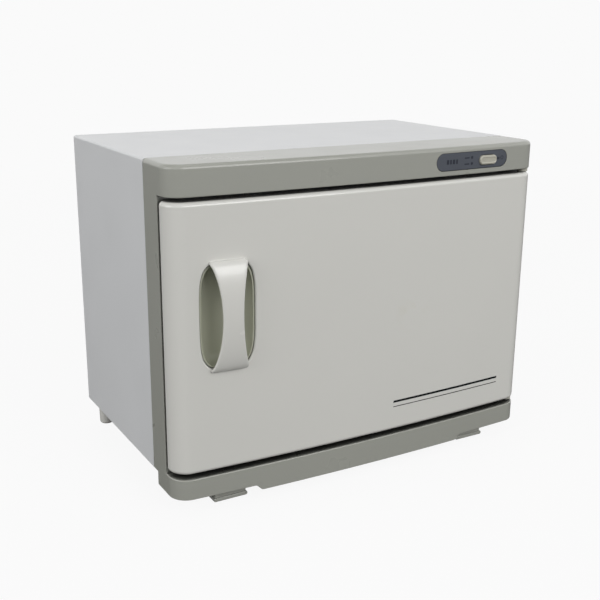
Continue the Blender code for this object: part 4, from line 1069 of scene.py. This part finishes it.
def make_lamp():
    """Quartz tube with metal end caps and two pins at each end."""
    low, high = local("uv_lamp")
    middle = (low + high) / 2
    radius, reach = (high.z - low.z) / 2, (high.x - low.x) / 2 - 0.0065
    cap = 0.0080
    inner = reach - cap
    glass_tube = turned(
        [(radius * 0.80, inner), (radius * 0.97, inner), (radius * 0.97, -inner), (radius * 0.80, -inner)],
        middle, (1, 0, 0), 48, closed=True,
    )
    metal_parts = []
    for side in (-1, 1):
        profile = [
            (0, cap), (radius * 0.90, cap), (radius * 0.98, cap - 0.0004), (radius, cap - 0.0012),
            (radius, 0.0006), (radius * 0.985, 0), (0, 0),
        ]
        metal_parts.append(turned(profile, middle + Vector((side * inner, 0, 0)), (side, 0, 0)))
        for offset in (-0.0023, 0.0023):
            start = middle + Vector((side * (reach - 0.001), 0, offset))
            metal_parts.append(rod(start, start + Vector((side * 0.0070, 0, 0)), 0.0012, 16))
    for mesh, index in [(glass_tube, 0)] + [(m, 1) for m in metal_parts]:
        for face in mesh.polygons:
            face.material_index = index
    whole = gather([glass_tube] + metal_parts)
    show("uv_lamp", whole, [GLASS, ZINC_STEEL], 40)

    for side, direction in (("left", -1), ("right", 1)):
        low, high = local(f"lamp_holder_{side}")
        holder = block(low, high, 0.0008)
        ends = (low.x - 0.004, high.x - 0.0035) if direction > 0 else (low.x + 0.0035, high.x + 0.004)
        width, below, above = 0.0017, 0.020, 0.0042
        slot = block(
            (ends[0], middle.y - width, middle.z - below), (ends[1], middle.y + width, middle.z + above)
        )
        show(f"lamp_holder_{side}", cut(holder, slot), WHITE_PLASTIC)


def make_lamp_guard():
    """Bent aluminium cover in front of the tube, slotted so that the light reaches the towels."""
    low, high = local("lamp_guard")
    t, bend, hook = 0.0010, 0.0050, 0.010
    front, top, rear, bottom = low.y + hook, high.z, high.y, low.z + t
    path = [(low.y, top - t)]
    path += arc((front - 0.002, top - t - 0.002), 0.002, 90, 0, 4)
    path += arc((front + bend, bottom + bend), bend, 180, 270, 8)
    path += [(rear, bottom)]
    rows = [[(x, y, z) for y, z in path] for x in (low.x, high.x)]
    cover = thicken(sheet(rows), t, 1.0, 0.0002)
    lamp = centre_of("uv_lamp")
    cutters = []
    for z in (lamp.z - 0.004, lamp.z + 0.006):
        for i in range(7):
            x = -0.096 + 0.032 * i
            slot = stadium(x - 0.012, x + 0.012, z - 0.002, z + 0.002, 6)
            cutters.append(solid(slot, [(front - 0.004, 0.0), (front + 0.004, 0.0)], "Y"))
    show("lamp_guard", cut(cover, *cutters), ALUMINIUM)


def make_drip_tray():
    """Shallow tray with side flanges and soft inner corners."""
    low, high = local("drip_tray")
    flange, wall = 0.0050, 0.0014
    left, right = low.x + flange, high.x - flange
    outline = rounded(left, right, low.y, high.y, 0.008, 8)
    bottom, top = low.z, high.z
    levels = edge(bottom, top, 0.0016, 0.0003, 5)
    inner = [(top - 0.0002, wall - 0.0003), (top - 0.0006, wall)]
    corner = 0.002
    inner += [(bottom + wall + corner * (1 - s), wall + corner * (1 - c)) for s, c in quarter(5)]
    body = solid(outline, levels + inner)
    ledge_low, ledge_high = top - wall, top - 0.0001
    for side in (-1, 1):
        xs = sorted((side * (right - 0.0010), side * (right + flange)))
        ledge = block((xs[0], low.y + 0.010, ledge_low), (xs[1], high.y - 0.010, ledge_high), 0.0003)
        body = unite(body, ledge)
    show("drip_tray", body, GREY_PLASTIC)


def finish_carried_over():
    """Procedural materials and softened edges for the CAD nodes that stay."""
    for node, piece in NODES.items():
        if piece.hide_render:
            continue
        for slot in piece.material_slots:
            slot.material = FINISHES[FINISH_OF[node]]
        weld = piece.modifiers.new("weld", "WELD")
        weld.merge_threshold = 0.000001
        soft = piece.modifiers.new("soft", "BEVEL")
        soft.width = 0.0003
        soft.segments = 2
        soft.limit_method = "ANGLE"
        soft.angle_limit = math.radians(50)


# ---------------------------------------------------------------- stage

LENS = 56.06
AZIMUTH, DOWN, ROLL = math.radians(29.99), math.radians(16.21), math.radians(0.454)
STAND = Vector((-0.5401, -0.7907, 0.4440))
PALE = 0.956
FLOOR_WHITE, FLOOR_LIGHT = 0.06, 0.75


def make_camera():
    """The camera stands to the left of the cabinet and looks a little down at it."""
    data = bpy.data.cameras.new("camera")
    data.lens = LENS
    forward = Vector((
        math.sin(AZIMUTH) * math.cos(DOWN), math.cos(AZIMUTH) * math.cos(DOWN), -math.sin(DOWN)
    ))
    right = forward.cross(Vector((0, 0, 1))).normalized()
    basis = Matrix((right, right.cross(forward), -forward)).transposed().to_4x4()
    camera = bpy.data.objects.new("camera", data)
    camera.matrix_world = Matrix.Translation(STAND + ORIGIN) @ basis @ Matrix.Rotation(ROLL, 4, "Z")
    bpy.context.scene.collection.objects.link(camera)
    bpy.context.scene.camera = camera


def make_floor():
    """Pale floor that sweeps up into the studio's walls and ceiling: seen, but not a light source."""
    radius, sweep, height = 14.0, 6.0, 16.0
    profile = [(0.0, 0.0), (radius - sweep, 0.0)]
    profile += [(u, v + sweep) for u, v in arc((radius - sweep, 0.0), sweep, 270, 360, 16)[1:]]
    profile += [(radius, height), (0.0, height)]
    floor = bpy.data.objects.new("floor", turned(profile, (0, 0, 0), steps=96))
    bpy.context.scene.collection.objects.link(floor)
    look = Surface("pale_floor", (0.0, 0.0, 0.0), 0.9)
    away = look.add("ShaderNodeVectorMath", {0: look.place}, operation="LENGTH").outputs["Value"]
    look.paint(look.spread(away, 1.0, 0.0, 0.4, 2.4), (FLOOR_WHITE, FLOOR_WHITE, FLOOR_WHITE))
    glow = look.spread(away, PALE - FLOOR_WHITE * FLOOR_LIGHT, PALE, 0.4, 2.4)
    look.tree.links.new(glow, look.shader.inputs["Emission Strength"])
    look.set(Emission_Color=(1, 1, 1, 1), Specular_IOR_Level=0.0)
    floor.data.materials.append(look.material)
    floor.visible_diffuse = False
    floor.visible_glossy = False
    floor.visible_shadow = False


def make_world(levels):
    """Even studio surroundings, as (height on the unit sphere, brightness) from below to above."""
    world = bpy.data.worlds.new("studio")
    world.use_nodes = True
    tree = world.node_tree
    place = tree.nodes.new("ShaderNodeTexCoord")
    split = tree.nodes.new("ShaderNodeSeparateXYZ")
    height = tree.nodes.new("ShaderNodeMapRange")
    height.inputs["From Min"].default_value = -1.0
    ramp = tree.nodes.new("ShaderNodeValToRGB")
    while len(ramp.color_ramp.elements) < len(levels):
        ramp.color_ramp.elements.new(0.5)
    for element, (z, level) in zip(ramp.color_ramp.elements, levels):
        element.position = (z + 1) / 2
        element.color = (level, level, level, 1)
    tree.links.new(place.outputs["Generated"], split.inputs["Vector"])
    tree.links.new(split.outputs["Z"], height.inputs["Value"])
    tree.links.new(height.outputs["Result"], ramp.inputs["Fac"])
    tree.links.new(ramp.outputs["Color"], tree.nodes["Background"].inputs["Color"])
    bpy.context.scene.world = world


def add_softbox(name, place, size, power, aim=Vector((0, 0, 0.17))):
    """A rectangular light turned to the cabinet, unseen by the camera."""
    data = bpy.data.lights.new(name, "AREA")
    data.shape = "RECTANGLE"
    data.size, data.size_y = size
    data.energy = power
    light = bpy.data.objects.new(name, data)
    light.location = place
    light.rotation_euler = (aim - Vector(place)).to_track_quat("-Z", "Y").to_euler()
    light.visible_camera = False
    bpy.context.scene.collection.objects.link(light)


def make_stage():
    """Camera, floor and light. Most of the light comes from above the horizon, all round."""
    make_camera()
    make_floor()
    make_world(((-0.43, 0.0), (-0.27, 0.09), (-0.08, 0.09), (0.08, 0.93), (0.67, 0.96), (0.83, 0.0)))
    add_softbox("front_box", (0.5, -2.2, 1.1), (1.4, 1.0), 17.5)
    add_softbox("left_box", (-2.2, -0.3, 0.9), (1.4, 1.0), 11.0)
    add_softbox("top_box", (0.0, -0.2, 2.2), (1.2, 1.2), 4.3)
    bpy.context.scene.view_settings.view_transform = "Standard"


make_stage()
make_casing()
make_rear_panel()
make_screws()
make_grommet()
make_feet()
make_front_frame()
make_label()
make_rocker()
make_door_shell()
make_handle_cup()
make_handle_strap()
make_door_inside()
make_hinges()
make_liner()
make_rack()
make_lamp()
make_lamp_guard()
make_drip_tray()
finish_carried_over()
